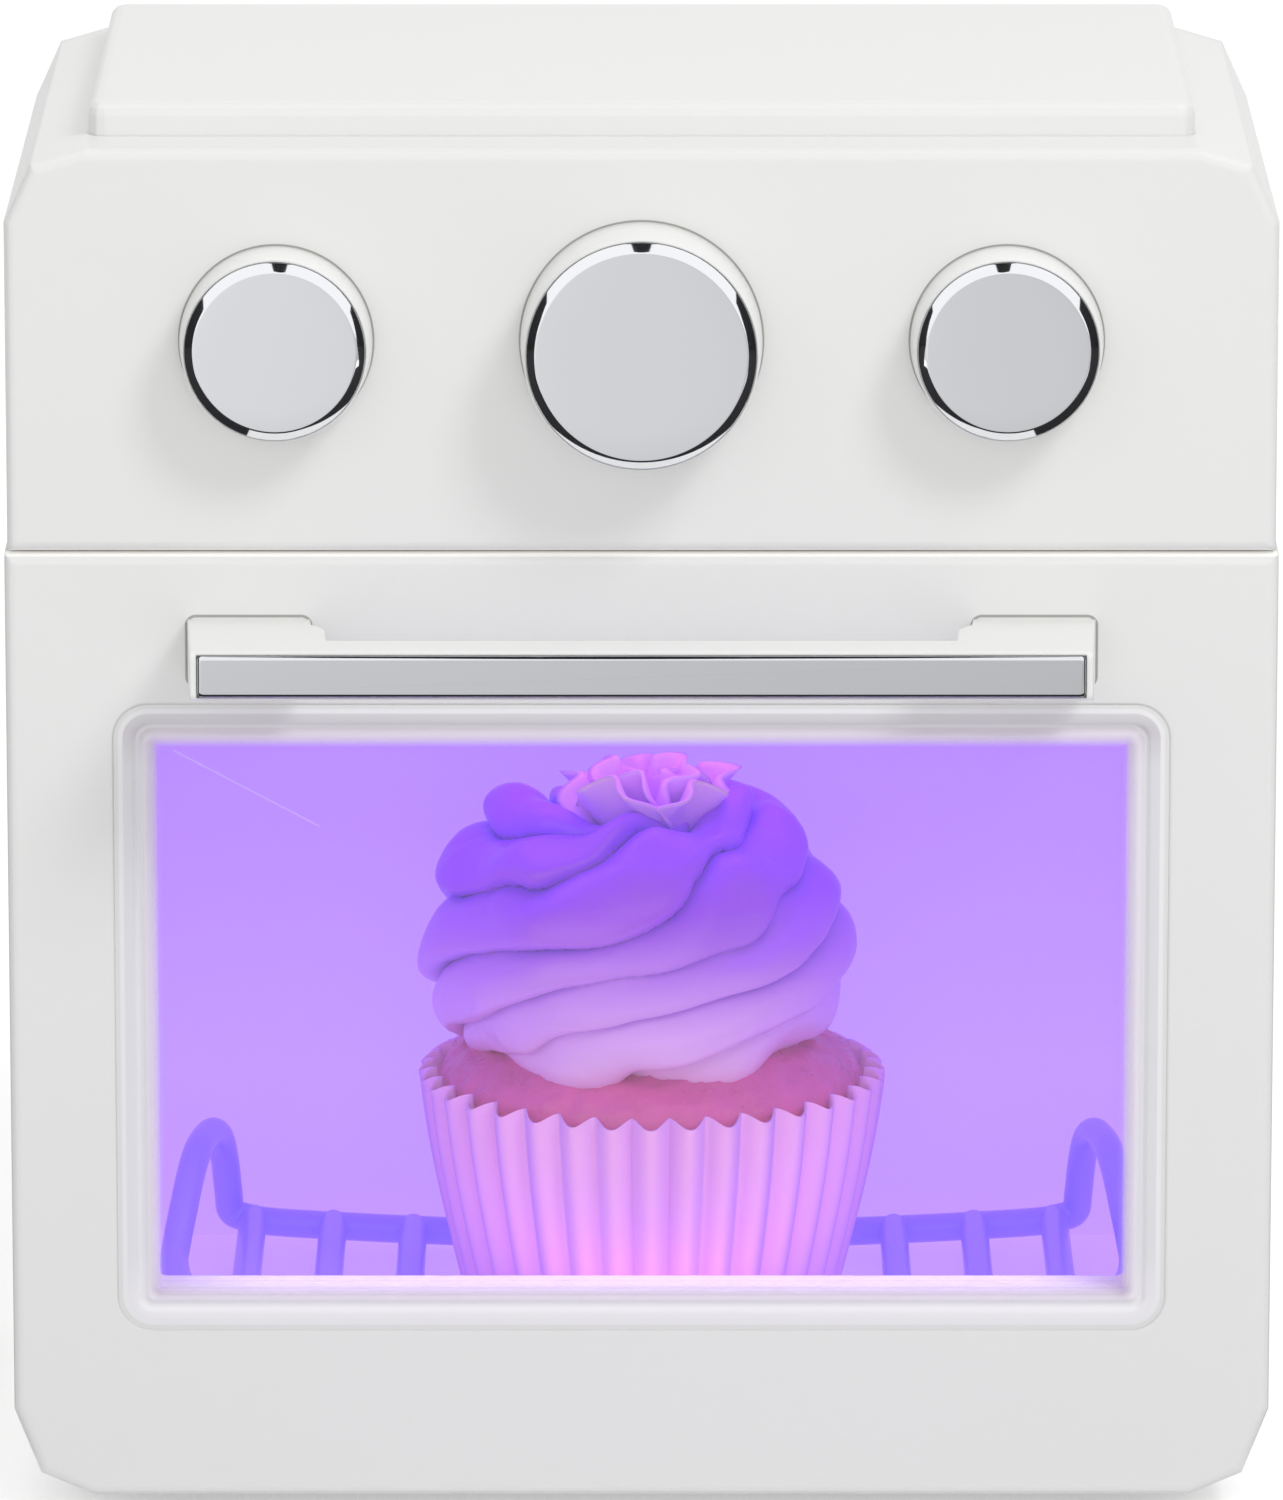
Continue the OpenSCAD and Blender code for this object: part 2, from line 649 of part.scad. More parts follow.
// A shaft with a flat, grown by gap for the hole that it drives
module flat_shaft(y0, y1, gap) intersection() {
    y_rod(shaft_r - 0.4 + gap, y0, y1, 0, knob_z);
    box(-shaft_r, shaft_r, y0, y1, knob_z - shaft_r, knob_z + shaft_r - 1.2 + gap);
}

module switch_rotor() in_frame() color(bright_white) difference() {
    y_rod(rotor_r, switch_y + 1.3, board_y - 0.3, 0, knob_z);
    flat_shaft(switch_y, board_y, snug);
}

module door_sensor() in_frame() color([0.85, 0.9, 0.88]) {
    x_rod(sensor_r, catch_x - 4 - sensor_l / 2, catch_x - 4 + sensor_l / 2, sensor_y, catch_z);
    x_rod(0.3, catch_x - 4 - sensor_l / 2 - 2, catch_x - 4 + sensor_l / 2 + 2, sensor_y, catch_z);
}

module strike_plates() in_frame() color(steel_grey)
    for (side = [-1, 1]) y_rod(strike_r, bay_y + snug, bay_y + strike_t, side * catch_x, catch_z);

// Rubber feet

foot_peg_r = 1.8;
foot_x = body_w / 2 - 20;
foot_front_y = bay_y + 9.4;
foot_rear_y = body_d - 12;
foot_spots = [[-foot_x, foot_front_y], [foot_x, foot_front_y], [-foot_x, foot_rear_y], [foot_x, foot_rear_y]];

module foot(spot) in_frame() color(dark_grey) translate([spot[0], spot[1], 0]) rotate_extrude()
    polygon([[0, 0], [foot_r - 0.9, 0], [foot_r - 0.4, 0.3], [foot_r, foot_h - 0.3], [foot_r, foot_h],
        [foot_peg_r, foot_h], [foot_peg_r, foot_h + wall + 0.6], [0, foot_h + wall + 0.6]]);

// Door

rim = 1.7;
slot_half = lug_w / 2 + 0.25;

module window_hole(y0, y1) plate_y(y0, y1) translate([0, window_z]) rounded(window_w, window_h, window_r);

door_screw_spots = [for (side = [-1, 1], z = [window_lo - 7.6, door_top - 8.4]) [side * 28, z]];

// What stays solid between the door's two skins
module door_keep() {
    translate([0, window_z])
        rounded(window_w + 2 * (pane_lap + rim), window_h + 2 * (pane_lap + rim), pane_r + rim);
    translate([0, base_z]) square([body_w + 2, 2 * (2 * hinge_r + 0.4)], center = true);
    for (side = [-1, 1]) translate([side * catch_x, catch_z]) circle(magnet_r + 1.4);
    for (s = door_screw_spots) translate(s) circle(2.2);
}

// Seen from the side: the outer shell, with its lower rear edge rounded about the hinge's axis
module door_side() polygon(concat([[-1, base_z - 1], [hinge_y, base_z - 1]],
    [for (a = [-90:15:0]) [hinge_y + hinge_r * cos(a), hinge_z + hinge_r * sin(a)]],
    [[seam_y, hinge_z], [seam_y, door_top + 1], [-1, door_top + 1]]));

module door_outer() in_frame() color(shell_white) difference() {
    intersection() {
        pillow(door_outline, 0, door_t + 1, edge_r);
        translate([-body_w, 0, 0]) rotate([90, 0, 90]) linear_extrude(2 * body_w) door_side();
    }
    plate_y(door_wall, seam_y + lap) difference() {
        polygon(inset(door_outline, door_wall));
        door_keep();
    }
    window_hole(-lap, door_t);
    plate_y(-lap, pane_t + snug) translate([0, window_z])
        rounded(window_w + 2 * (pane_lap + snug), window_h + 2 * (pane_lap + snug), pane_r + snug);
    for (side = [-1, 1]) {
        box(side * lug_x - slot_half, side * lug_x + slot_half, 1.1, door_t + lap,
            base_z - lap, hinge_z + hinge_r - 1.1);
        x_rod(pin_r + 0.02, side * lug_x - pin_l / 2 - 0.1, side * lug_x + pin_l / 2 + 0.1, hinge_y, hinge_z);
        y_rod(magnet_r + snug, seam_y - magnet_t - snug, seam_y + lap, side * catch_x, catch_z);
        y_rod(pass_r, -lap, door_wall + lap, side * screw_x, screw_z);
    }
    for (s = door_screw_spots) y_rod(pilot_r, door_wall, seam_y + lap, s[0], s[1]);
}

module door_inner() in_frame() color(shell_white) difference() {
    intersection() {
        pillow(door_outline, seam_y, door_t, 0, 0.6);
        box(-body_w, body_w, 0, door_t + lap, hinge_z + 0.05, door_top + lap);
    }
    window_hole(0, door_t + lap);
    for (side = [-1, 1]) box(side * lug_x - slot_half, side * lug_x + slot_half, 1, door_t + lap,
        0, hinge_z + hinge_r - 1.1);
    for (s = door_screw_spots) {
        y_rod(pass_r, seam_y - lap, door_t + lap, s[0], s[1]);
        y_rod(head_r + 0.2, door_t - 1, door_t + lap, s[0], s[1]);
    }
}

module door_screws() in_frame() color(steel_grey)
    for (s = door_screw_spots) intersection() {
        screw_y(s[0], s[1], door_t - 1, 3.6);
        box(-body_w, body_w, 0, door_t, 0, top_z);
    }

module door_magnets() in_frame() color(steel_grey)
    for (side = [-1, 1]) y_rod(magnet_r, seam_y - magnet_t, seam_y, side * catch_x, catch_z);

// The clear pane: a front plate that laps the opening and a locating rim inside it
module window_pane() in_frame() color([0.93, 0.92, 0.97, 0.35]) {
    plate_y(0, pane_t) translate([0, window_z])
        rounded(window_w + 2 * pane_lap, window_h + 2 * pane_lap, pane_r);
    difference() {
        plate_y(pane_t - lap, pane_t + 1.6) translate([0, window_z])
            rounded(window_w - 0.1, window_h - 0.1, window_r);
        plate_y(pane_t - 2 * lap, pane_t + 2) translate([0, window_z])
            rounded(window_w - 2.5, window_h - 2.5, 0.6);
    }
}

// Handle: one white moulding of a bar and two posts, with a chrome strip let into its front

module handle_plan() {
    front = handle_w / 2 - 0.7;
    inner = handle_w / 2 - post_w;
    half = [[handle_w / 2, 0], [inner, 0], [inner - 0.2, -2.6], [inner - 0.9, -3.4], [inner - 1.6, -4.9],
        [inner - 1.8, -bar_back]];
    polygon(concat([[front, -handle_reach]], half, [for (i = [len(half) - 1:-1:0]) [-half[i][0], half[i][1]]],
        [[-front, -handle_reach]]));
}

module handle_side() {
    low = handle_top - bar_h;
    soft = 0.5;
    polygon([[0, low - 1.2], [0, handle_top - 0.2], [-handle_reach + soft, handle_top],
        [-handle_reach + 0.15, handle_top - 0.15], [-handle_reach, handle_top - soft],
        [-handle_reach, low + soft], [-handle_reach + 0.15, low + 0.15], [-handle_reach + soft, low],
        [-bar_back, low - 0.3]]);
}

module handle_bracket() in_frame() color(bright_white) difference() {
    intersection() {
        translate([0, 0, handle_top - bar_h - 3]) linear_extrude(bar_h + 6) handle_plan();
        translate([-handle_w, 0, 0]) rotate([90, 0, 90]) linear_extrude(2 * handle_w) handle_side();
    }
    box(-trim_half - snug, trim_half + snug, -handle_reach - lap, -handle_reach + trim_t - trim_proud,
        handle_top - bar_h + trim_rim - snug, handle_top - trim_rim + snug);
    for (side = [-1, 1]) y_rod(pilot_r, -8.4, lap, side * screw_x, screw_z);
}

trim_half = handle_w / 2 - 1.4;

module handle_trim() in_frame() color(chrome_grey)
    pillow(rect(2 * trim_half, bar_h - 2 * trim_rim, handle_top - bar_h / 2), -handle_reach - trim_proud,
        -handle_reach + trim_t - trim_proud, 0.35);

module handle_screws() in_frame() color(steel_grey)
    for (side = [-1, 1]) screw_y(side * screw_x, screw_z, door_wall, 9.4);

module hinge_pin(side) in_frame() color(steel_grey)
    x_rod(pin_r, side * lug_x - pin_l / 2, side * lug_x + pin_l / 2, hinge_y, hinge_z);

// Knobs: a white turned body on a shaft, a chrome cap let into its front and a clip behind the panel

cap_edge = 0.75;
cap_depth = 1.4;
cap_round = 0.9;

module knob_body(x, r, h, end) in_frame() color(bright_white) translate([x, 0, knob_z]) rotate([90, 0, 0]) {
    front_r = r - 0.3;
    difference() {
        rotate_extrude($fn = 96) polygon([[0, loose], [r - 0.4, loose], [r, loose + 0.4], [front_r, h - 0.25],
            [front_r - 0.15, h], [r - cap_edge, h], [r - cap_edge, h - cap_depth], [0, h - cap_depth]]);
        rotate_extrude() polygon([[shaft_r + 2, loose - lap], [r - 1.6, loose - lap],
            [r - 1.9, h - cap_depth - 1.2], [shaft_r + 2, h - cap_depth - 1.2]]);
    }
    rotate_extrude() polygon([[0, loose], [shaft_r, loose], [shaft_r, -wall - bushing_l - 0.3],
        [shaft_r - 0.3, -wall - bushing_l - 0.3], [shaft_r - 0.3, -wall - bushing_l - 0.3 - clip_t],
        [shaft_r, -wall - bushing_l - 0.3 - clip_t], [shaft_r - 0.4, -end], [0, -end]]);
}

module knob_cap(x, r, h) in_frame() color(chrome_grey) translate([x, 0, knob_z]) rotate([90, 0, 0])
    rotate_extrude($fn = 96) let (c = r - cap_edge - snug, low = h - cap_depth)
        polygon(concat([[0, low], [c, low]], [for (a = [0:15:90])
            [c - cap_round * (1 - cos(a)), h + 0.4 - cap_round * (1 - sin(a))]], [[0, h + 0.45]]));

module knob_clip(x) in_frame() color(steel_grey) difference() {
    y_rod(clip_r, wall + bushing_l + 0.3 + 0.1, wall + bushing_l + 0.3 + clip_t - 0.1, x, knob_z);
    y_rod(shaft_r - 0.3 + snug, wall, board_y, x, knob_z);
}

shaft_end = wall + bushing_l + 2.4;

module knob_main() {
    difference() {
        knob_body(0, main_knob_r, main_knob_h, shaft_end);
    }
    in_frame() color(bright_white) flat_shaft(shaft_end - 0.6, board_y - 0.3, 0);
}

// Rack: one bent perimeter wire with a raised loop on each side, and straight bars across it

function sag_z(x) = rack_z - rack_sag * (1 - pow(x / rack_half, 2));

// Corner points of the wire's right half, from the middle of the back rim to the middle of the front rim
rim_end = [0.2, 0.4, 0.6, 0.8];
loop_front = rack_rear - loop_w;
foot_out = rack_half + loop_splay;
foot_lift = 1.2;
wire_corners = concat(
    [[0.3, rack_rear, sag_z(0)]], [for (t = rim_end) [t * rack_half, rack_rear, sag_z(t * rack_half)]],
    [[rack_half, rack_rear, rack_z], [rack_half + 0.6, rack_rear, rack_z + loop_h],
     [foot_out - 0.6, loop_front + 1, rack_z + loop_h], [foot_out, loop_front, rack_z + foot_lift],
     [rack_half + 1, rack_front, rack_z]],
    [for (t = backs_reversed(rim_end)) [t * rack_half, rack_front, sag_z(t * rack_half)]],
    [[0.3, rack_front, sag_z(0)]]);

// How far back from each corner its bend begins
function bend_start(i) = let (k = i - len(rim_end) - 1)
    k == 0 ? 3.2 : k == 1 || k == 2 ? loop_h - 3.6 : k == 3 ? 2.6 : k == 4 ? 4 : 0;

function bend(a, p, b, cut) = cut == 0 ? [p] : [for (s = [0:0.2:1])
    let (from = p + cut * unit(a - p), to = p + cut * unit(b - p))
    (1 - s) * (1 - s) * from + 2 * s * (1 - s) * p + s * s * to];

wire_path = let (c = wire_corners, n = len(c)) [for (i = [0:n - 1])
    each (i == 0 || i == n - 1 ? [c[i]] : bend(c[i - 1], c[i], c[i + 1], bend_start(i)))];

function heading(p, i) = unit(p[min(i + 1, len(p) - 1)] - p[max(i - 1, 0)]);

// Each ring's first direction, turned no more than the wire itself turns
function carried(p, i) = let (t = heading(p, i), last = i == 0 ? [0, 0, 1] : carried(p, i - 1))
    unit(last - (last * t) * t);

module wire(p, r, sides) skin([for (i = [0:len(p) - 1])
    let (t = heading(p, i), u = carried(p, i), v = cross(t, u))
    [for (k = [0:sides - 1]) p[i] + r * (cos(360 * k / sides) * u + sin(360 * k / sides) * v)]]);

// A bar with rounded ends, lying a little above the middle of the rims
module rack_bar(x) {
    ends = concat([for (a = [80, 50, 25, 0]) [rack_rear + wire_r * sin(a), cos(a)]],
        [for (a = [0, 25, 50, 80]) [rack_front - wire_r * sin(a), cos(a)]]);
    skin([for (e = ends) [for (k = [0:7]) let (a = 45 * k + 22.5)
        [x + wire_r * e[1] * cos(a), e[0], sag_z(x) + 0.2 + wire_r * e[1] * sin(a)]]]);
}

module rack() in_frame() color(violet) translate([rack_shift, 0, 0]) {
    wire(wire_path, wire_r, 8);
    mirror([1, 0, 0]) wire(wire_path, wire_r, 8);
    for (i = [-bars_each_side:bars_each_side]) rack_bar(i * bar_pitch);
}

// Play cupcake

case_z = sag_z(2 * bar_pitch) + 0.2 + wire_r + 0.12;
case_top = case_z + case_h;

// Radius of the case's middle line at the share t of its height, a little bulged
function case_line(t) = case_base_r + (case_r - case_base_r) * sin(90 * t) * 0.55
    + (case_r - case_base_r) * t * 0.45;

function fluted(r, depth, z) = [for (i = [0:2 * flutes - 1])
    let (a = 180 * i / flutes, q = r + (i % 2 == 0 ? depth : -depth))
    [q * cos(a), q * sin(a), z]];

module cupcake_case() in_frame() color(pink) translate([cup_x, cup_y, 0]) skin(concat(
    [for (t = [0:0.25:1]) fluted(case_line(t), flute_d, case_z + t * case_h)],
    [for (t = [1:-0.25:0.25])
        fluted(case_line(t) - case_wall, flute_d, case_z + t * case_h + (t == 1 ? 0 : 0.1))],
    [fluted(case_line(0) - case_wall, flute_d, case_z + 0.5)]));

dome_low = case_top - 1.6;
dome_h = 6.6;

module cake_profile(grow) {
    lean = flute_d + case_wall + 0.15;
    polygon(concat([[0, case_z + 0.6 - grow], [case_line(0.02) - lean, case_z + 0.6 - grow]],
        [for (t = [0.25:0.22:0.92]) [case_line(t) - lean + grow, case_z + t * case_h]],
        [for (a = [0:10:90]) [(case_line(0.92) - lean + grow) * pow(cos(a), 0.8),
            dome_low + (dome_h + grow) * sin(a)]]));
}

module cake() in_frame() color([0.8, 0.45, 0.65]) translate([cup_x, cup_y, 0])
    rotate_extrude($fn = 48) cake_profile(0);

// The frosting is a dome of slanting folds, and each fold bulges most just above its lower edge
frosting_z = dome_low + dome_h * 0.42;
fold_sides = 8;

function dome_r(t) = frosting_r
    * (t < 0.3 ? 0.86 + 0.14 * sin(300 * t) : pow(cos(90 * (t - 0.3) / 0.78), 0.62));

function fold_bulge(f) = pow(sin(180 * pow(f, 0.55)), 0.7);

function frosting_point(t, k) = let (
    a = 360 * (k / fold_sides + t * frosting_h / fold_rise) / frosting_folds,
    r = dome_r(t) + fold_d * (fold_bulge(1 - k % fold_sides / fold_sides) - 0.85) * (1 - t / 2))
    [max(r, 0.6) * cos(a), max(r, 0.6) * sin(a), frosting_z + t * frosting_h];

module frosting() in_frame() color([0.7, 0.5, 1]) translate([cup_x, cup_y, 0]) difference() {
    translate([-frosting_shift, 0, 0]) skin([for (t = [0:frosting_top / 22:frosting_top + 0.001])
        [for (k = [0:fold_sides * frosting_folds - 1]) frosting_point(t, k)]]);
    rotate_extrude($fn = 48) cake_profile(0.12);
}

// Three nested ruffled cups that stand on the frosting like the petals of a rose
module petal_cup(r, h, lobes, turn) {
    n = lobes * 6;
    function lip(i, share, up) = let (a = 360 * i / n, wave = cos(lobes * a + turn))
        [(r * share + (share > 0.7 ? 0.14 * r * wave : 0)) * cos(a),
         (r * share + (share > 0.7 ? 0.14 * r * wave : 0)) * sin(a),
         up + (share > 0.7 ? 0.16 * h * wave : 0)];
    skin([[for (i = [0:n - 1]) lip(i, 0.5, 0)], [for (i = [0:n - 1]) lip(i, 0.8, h * 0.5)],
        [for (i = [0:n - 1]) lip(i, 1, h)], [for (i = [0:n - 1]) lip(i, 0.9, h)],
        [for (i = [0:n - 1]) lip(i, 0.71, h * 0.55)], [for (i = [0:n - 1]) lip(i, 0.36, 0.8)]]);
}

frosting_top = 0.99;
rosette_z = frosting_z + frosting_h * frosting_top + 0.5;

module frosting_rosette() in_frame() color([0.85, 0.55, 0.95])
    translate([cup_x - frosting_shift - 0.7, cup_y - 1, rosette_z])
    rotate([3, -2, 0]) {
        petal_cup(petal_r, petal_h * 0.9, 5, 0);
        translate([0, 0, 0.2]) petal_cup(petal_r * 0.65, petal_h, 4, 80);
        translate([0, 0, 0.3]) petal_cup(petal_r * 0.35, petal_h * 0.95, 3, 40);
    }

cabinet_shell();
back_cover();
cover_screws();
battery_door();
battery_door_screw();
battery_tray();
battery_contacts();
battery_cells();
oven_liner();
light_diffuser();
led_board();
uv_leds();
led_board_screws();
main_board();
main_board_screws();
rotary_switch();
switch_rotor();
door_sensor();
strike_plates();
foot(foot_spots[0]);  // foot_front_left
foot(foot_spots[1]);  // foot_front_right
foot(foot_spots[2]);  // foot_rear_left
foot(foot_spots[3]);  // foot_rear_right
door_outer();
door_inner();
door_screws();
door_magnets();
window_pane();
handle_bracket();
handle_trim();
handle_screws();
hinge_pin(-1);  // hinge_pin_left
hinge_pin(1);  // hinge_pin_right
knob_body(-knob_gap, side_knob_r, side_knob_h, shaft_end);  // knob_left
knob_cap(-knob_gap, side_knob_r, side_knob_h);  // knob_left_cap
knob_clip(-knob_gap);  // knob_left_clip
knob_main();
knob_cap(0, main_knob_r, main_knob_h);  // knob_main_cap
knob_clip(0);  // knob_main_clip
knob_body(knob_gap, side_knob_r, side_knob_h, shaft_end);  // knob_right
knob_cap(knob_gap, side_knob_r, side_knob_h);  // knob_right_cap
knob_clip(knob_gap);  // knob_right_clip
rack();
cupcake_case();
cake();
frosting();
frosting_rosette();
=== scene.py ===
import json
import math
import random

import bpy
import numpy as np
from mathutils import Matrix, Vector, noise


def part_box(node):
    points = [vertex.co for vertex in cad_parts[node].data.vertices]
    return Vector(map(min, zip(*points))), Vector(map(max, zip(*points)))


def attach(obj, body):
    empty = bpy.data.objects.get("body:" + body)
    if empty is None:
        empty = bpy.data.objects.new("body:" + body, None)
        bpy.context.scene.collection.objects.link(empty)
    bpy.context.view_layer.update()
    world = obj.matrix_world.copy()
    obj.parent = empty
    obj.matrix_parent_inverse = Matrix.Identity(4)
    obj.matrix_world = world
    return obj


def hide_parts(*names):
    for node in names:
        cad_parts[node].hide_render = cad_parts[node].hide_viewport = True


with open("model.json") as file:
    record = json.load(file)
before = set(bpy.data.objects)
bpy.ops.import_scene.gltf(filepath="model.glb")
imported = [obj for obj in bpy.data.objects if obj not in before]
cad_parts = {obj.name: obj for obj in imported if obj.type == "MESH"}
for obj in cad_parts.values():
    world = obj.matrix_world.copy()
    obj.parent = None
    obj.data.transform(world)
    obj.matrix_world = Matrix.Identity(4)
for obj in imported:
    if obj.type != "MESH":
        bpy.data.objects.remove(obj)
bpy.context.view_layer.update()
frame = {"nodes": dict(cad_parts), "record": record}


# Places. The drawing is in millimetres, with y = 0 on the control panel's face

MM = 0.001
MID_Y = 0.0264


def row_y(y):
    """A depth of the drawing in the row's frame, in metres."""
    return y * MM - MID_Y


def at(x, y, z):
    """A point of the drawing in the row's frame, in metres."""
    return Vector((x * MM, row_y(y), z * MM))


def extent(node):
    """The lowest and highest corner of a CAD node, in the drawing."""
    low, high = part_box(node)
    shift = Vector((0, MID_Y, 0))
    return (low + shift) / MM, (high + shift) / MM


# Measures of the CAD pieces that are dressed or replaced

KNOB_LOW, KNOB_HIGH = extent("knob_main")
SIDE_LOW, SIDE_HIGH = extent("knob_right")
KNOB_Z = (KNOB_LOW.z + KNOB_HIGH.z) / 2
KNOB_GAP = (SIDE_LOW.x + SIDE_HIGH.x) / 2
MAIN_R = (KNOB_HIGH.x - KNOB_LOW.x) / 2
SIDE_R = (SIDE_HIGH.x - SIDE_LOW.x) / 2

POST_W = 11.6
POST_HIGH = extent("handle_bracket")[1]
POST_X = POST_HIGH.x - POST_W / 2
DOOR_TOP = extent("door_outer")[1].z

PANE_LOW, PANE_HIGH = extent("window_pane")
PANE_W = PANE_HIGH.x - PANE_LOW.x
PANE_H = PANE_HIGH.z - PANE_LOW.z
PANE_Z = (PANE_LOW.z + PANE_HIGH.z) / 2
PANE_LAP = 3.1

CASE_LOW, CASE_HIGH = extent("cupcake_case")
CUP_X = (CASE_LOW.x + CASE_HIGH.x) / 2
CUP_Y = (CASE_LOW.y + CASE_HIGH.y) / 2
CASE_Z = CASE_LOW.z
CASE_H = CASE_HIGH.z - CASE_LOW.z - 0.05


# Mesh tools. Their points are in the drawing

def turn(sides):
    """The angles of evenly spaced points round a full circle."""
    return [2 * math.pi * k / sides for k in range(sides)]


def quarter(steps):
    """Angles from 0 to 90 degrees."""
    return [math.pi / 2 * k / steps for k in range(steps + 1)]


def grid_faces(rows, cols, closed=True, start=0, flip=False):
    """Quads between rows of points; closed also joins the end of each row to its start."""
    faces = []
    for i in range(rows - 1):
        low = start + i * cols
        high = low + cols
        for j in range(cols if closed else cols - 1):
            k = (j + 1) % cols
            f = [low + j, low + k, high + k, high + j]
            faces.append(f[::-1] if flip else f)
    return faces


def ring_solid(rings, caps=True, flip=False):
    """A skin through rings of equally many points; caps close it at both ends."""
    n = len(rings[0])
    verts = [p for ring in rings for p in ring]
    faces = grid_faces(len(rings), n, flip=flip)
    if caps:
        start = list(range(n))
        end = list(range(len(verts) - n, len(verts)))
        faces.append(start if flip else start[::-1])
        faces.append(end[::-1] if flip else end)
    return verts, faces


def join(parts):
    """One mesh out of several."""
    verts, faces = [], []
    for part_verts, part_faces in parts:
        k = len(verts)
        verts += part_verts
        faces += [[i + k for i in f] for f in part_faces]
    return verts, faces


def tube(path, radii, sides=20):
    """A round wire along a path of points, with a radius for each."""
    rings = []
    u = None
    last_point = len(path) - 1
    for i, p in enumerate(path):
        along = (path[min(i + 1, last_point)] - path[max(i - 1, 0)]).normalized()
        if u is None:
            u = Vector((0, 0, 1)) if abs(along.z) < 0.9 else Vector((1, 0, 0))
        u = (u - along * u.dot(along)).normalized()
        v = along.cross(u)
        rings.append([tuple(p + (u * math.cos(a) + v * math.sin(a)) * radii[i]) for a in turn(sides)])
    return ring_solid(rings)


def rounded_bar(start, end, radius):
    """A straight wire with domed ends."""
    along = (end - start).normalized()
    dome = [math.radians(88 * k / 6) for k in range(7)]
    path = [start - along * radius * math.sin(a) for a in dome[::-1]]
    path += [end + along * radius * math.sin(a) for a in dome]
    return tube(path, [radius * math.cos(a) for a in dome[::-1] + dome])


def lathe(profile, x, z, sides=128):
    """A solid turned about the line through (x, z) that runs front to back.

    The profile's points are (radius, distance in front of the panel).
    """
    return ring_solid([[(x + r * math.sin(a), -out, z + r * math.cos(a)) for a in turn(sides)]
                       for r, out in profile])


def curve_through(points, steps):
    """A smooth curve through all but the first and last point, which only steer its ends."""
    out = []
    for a, b, c, d in zip(points, points[1:], points[2:], points[3:]):
        for k in range(steps):
            t = k / steps
            out.append(0.5 * (2 * b + (c - a) * t + (2 * a - 5 * b + 4 * c - d) * t * t
                              + (3 * b - a - 3 * c + d) * t ** 3))
    out.append(points[-2])
    return out


def round_rect(width, height, radius, z, steps):
    """The outline of a rectangle with round corners on the front, its middle at x = 0."""
    points = []
    for q, (sx, sz) in enumerate(((1, 1), (-1, 1), (-1, -1), (1, -1))):
        x0, z0 = sx * (width / 2 - radius), z + sz * (height / 2 - radius)
        for i in range(steps + 1):
            a = math.radians(90 * q + 90 * i / steps)
            points.append((x0 + radius * math.cos(a), z0 + radius * math.sin(a)))
    return points


def fillet(points, radius, steps):
    """Rounds the corners of a convex outline."""
    out = []
    for i, corner in enumerate(points):
        p = Vector(corner)
        before = Vector(points[i - 1]) - p
        after = Vector(points[(i + 1) % len(points)]) - p
        half = before.angle(after) / 2
        cut = min(radius / math.tan(half), 0.45 * before.length, 0.45 * after.length)
        start = p + before.normalized() * cut
        end = p + after.normalized() * cut
        for k in range(steps + 1):
            t = k / steps
            out.append(tuple((1 - t) ** 2 * start + 2 * t * (1 - t) * p + t * t * end))
    return out


def inset(points, distance):
    """An outline drawn in by a distance."""
    m = len(points)
    out = []
    for i in range(m):
        before, p, after = (np.array(points[(i + k) % m]) for k in (-1, 0, 1))
        a = (p - before) / np.linalg.norm(p - before)
        b = (after - p) / np.linalg.norm(after - p)
        na, nb = np.array([a[1], -a[0]]), np.array([b[1], -b[0]])
        out.append(tuple(p - distance * (na + nb) / (1 + na @ nb)))
    return out


def stepped_plate(outline, levels):
    """A plate through copies of an outline; each level is (how far drawn in, depth)."""
    return ring_solid([[(x, y, z) for x, z in inset(outline, d)] for d, y in levels], flip=True)


def piece(name, mesh, finish, body, node, angle):
    """Makes a piece out of a mesh: it rides on a body and stands for a CAD node.

    Edges that turn by more than the angle stay crisp, and at 180 degrees none does.
    """
    verts, faces = mesh
    me = bpy.data.meshes.new(name)
    me.from_pydata([at(*v) for v in verts], [], faces)
    me.validate()
    me.update()
    for face in me.polygons:
        face.use_smooth = True
    if angle < 180:
        me.set_sharp_from_angle(angle=math.radians(angle))
    me.materials.append(FINISHES[finish])
    ob = bpy.data.objects.new(name, me)
    bpy.context.scene.collection.objects.link(ob)
    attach(ob, body)
    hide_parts(node)


# Node tools

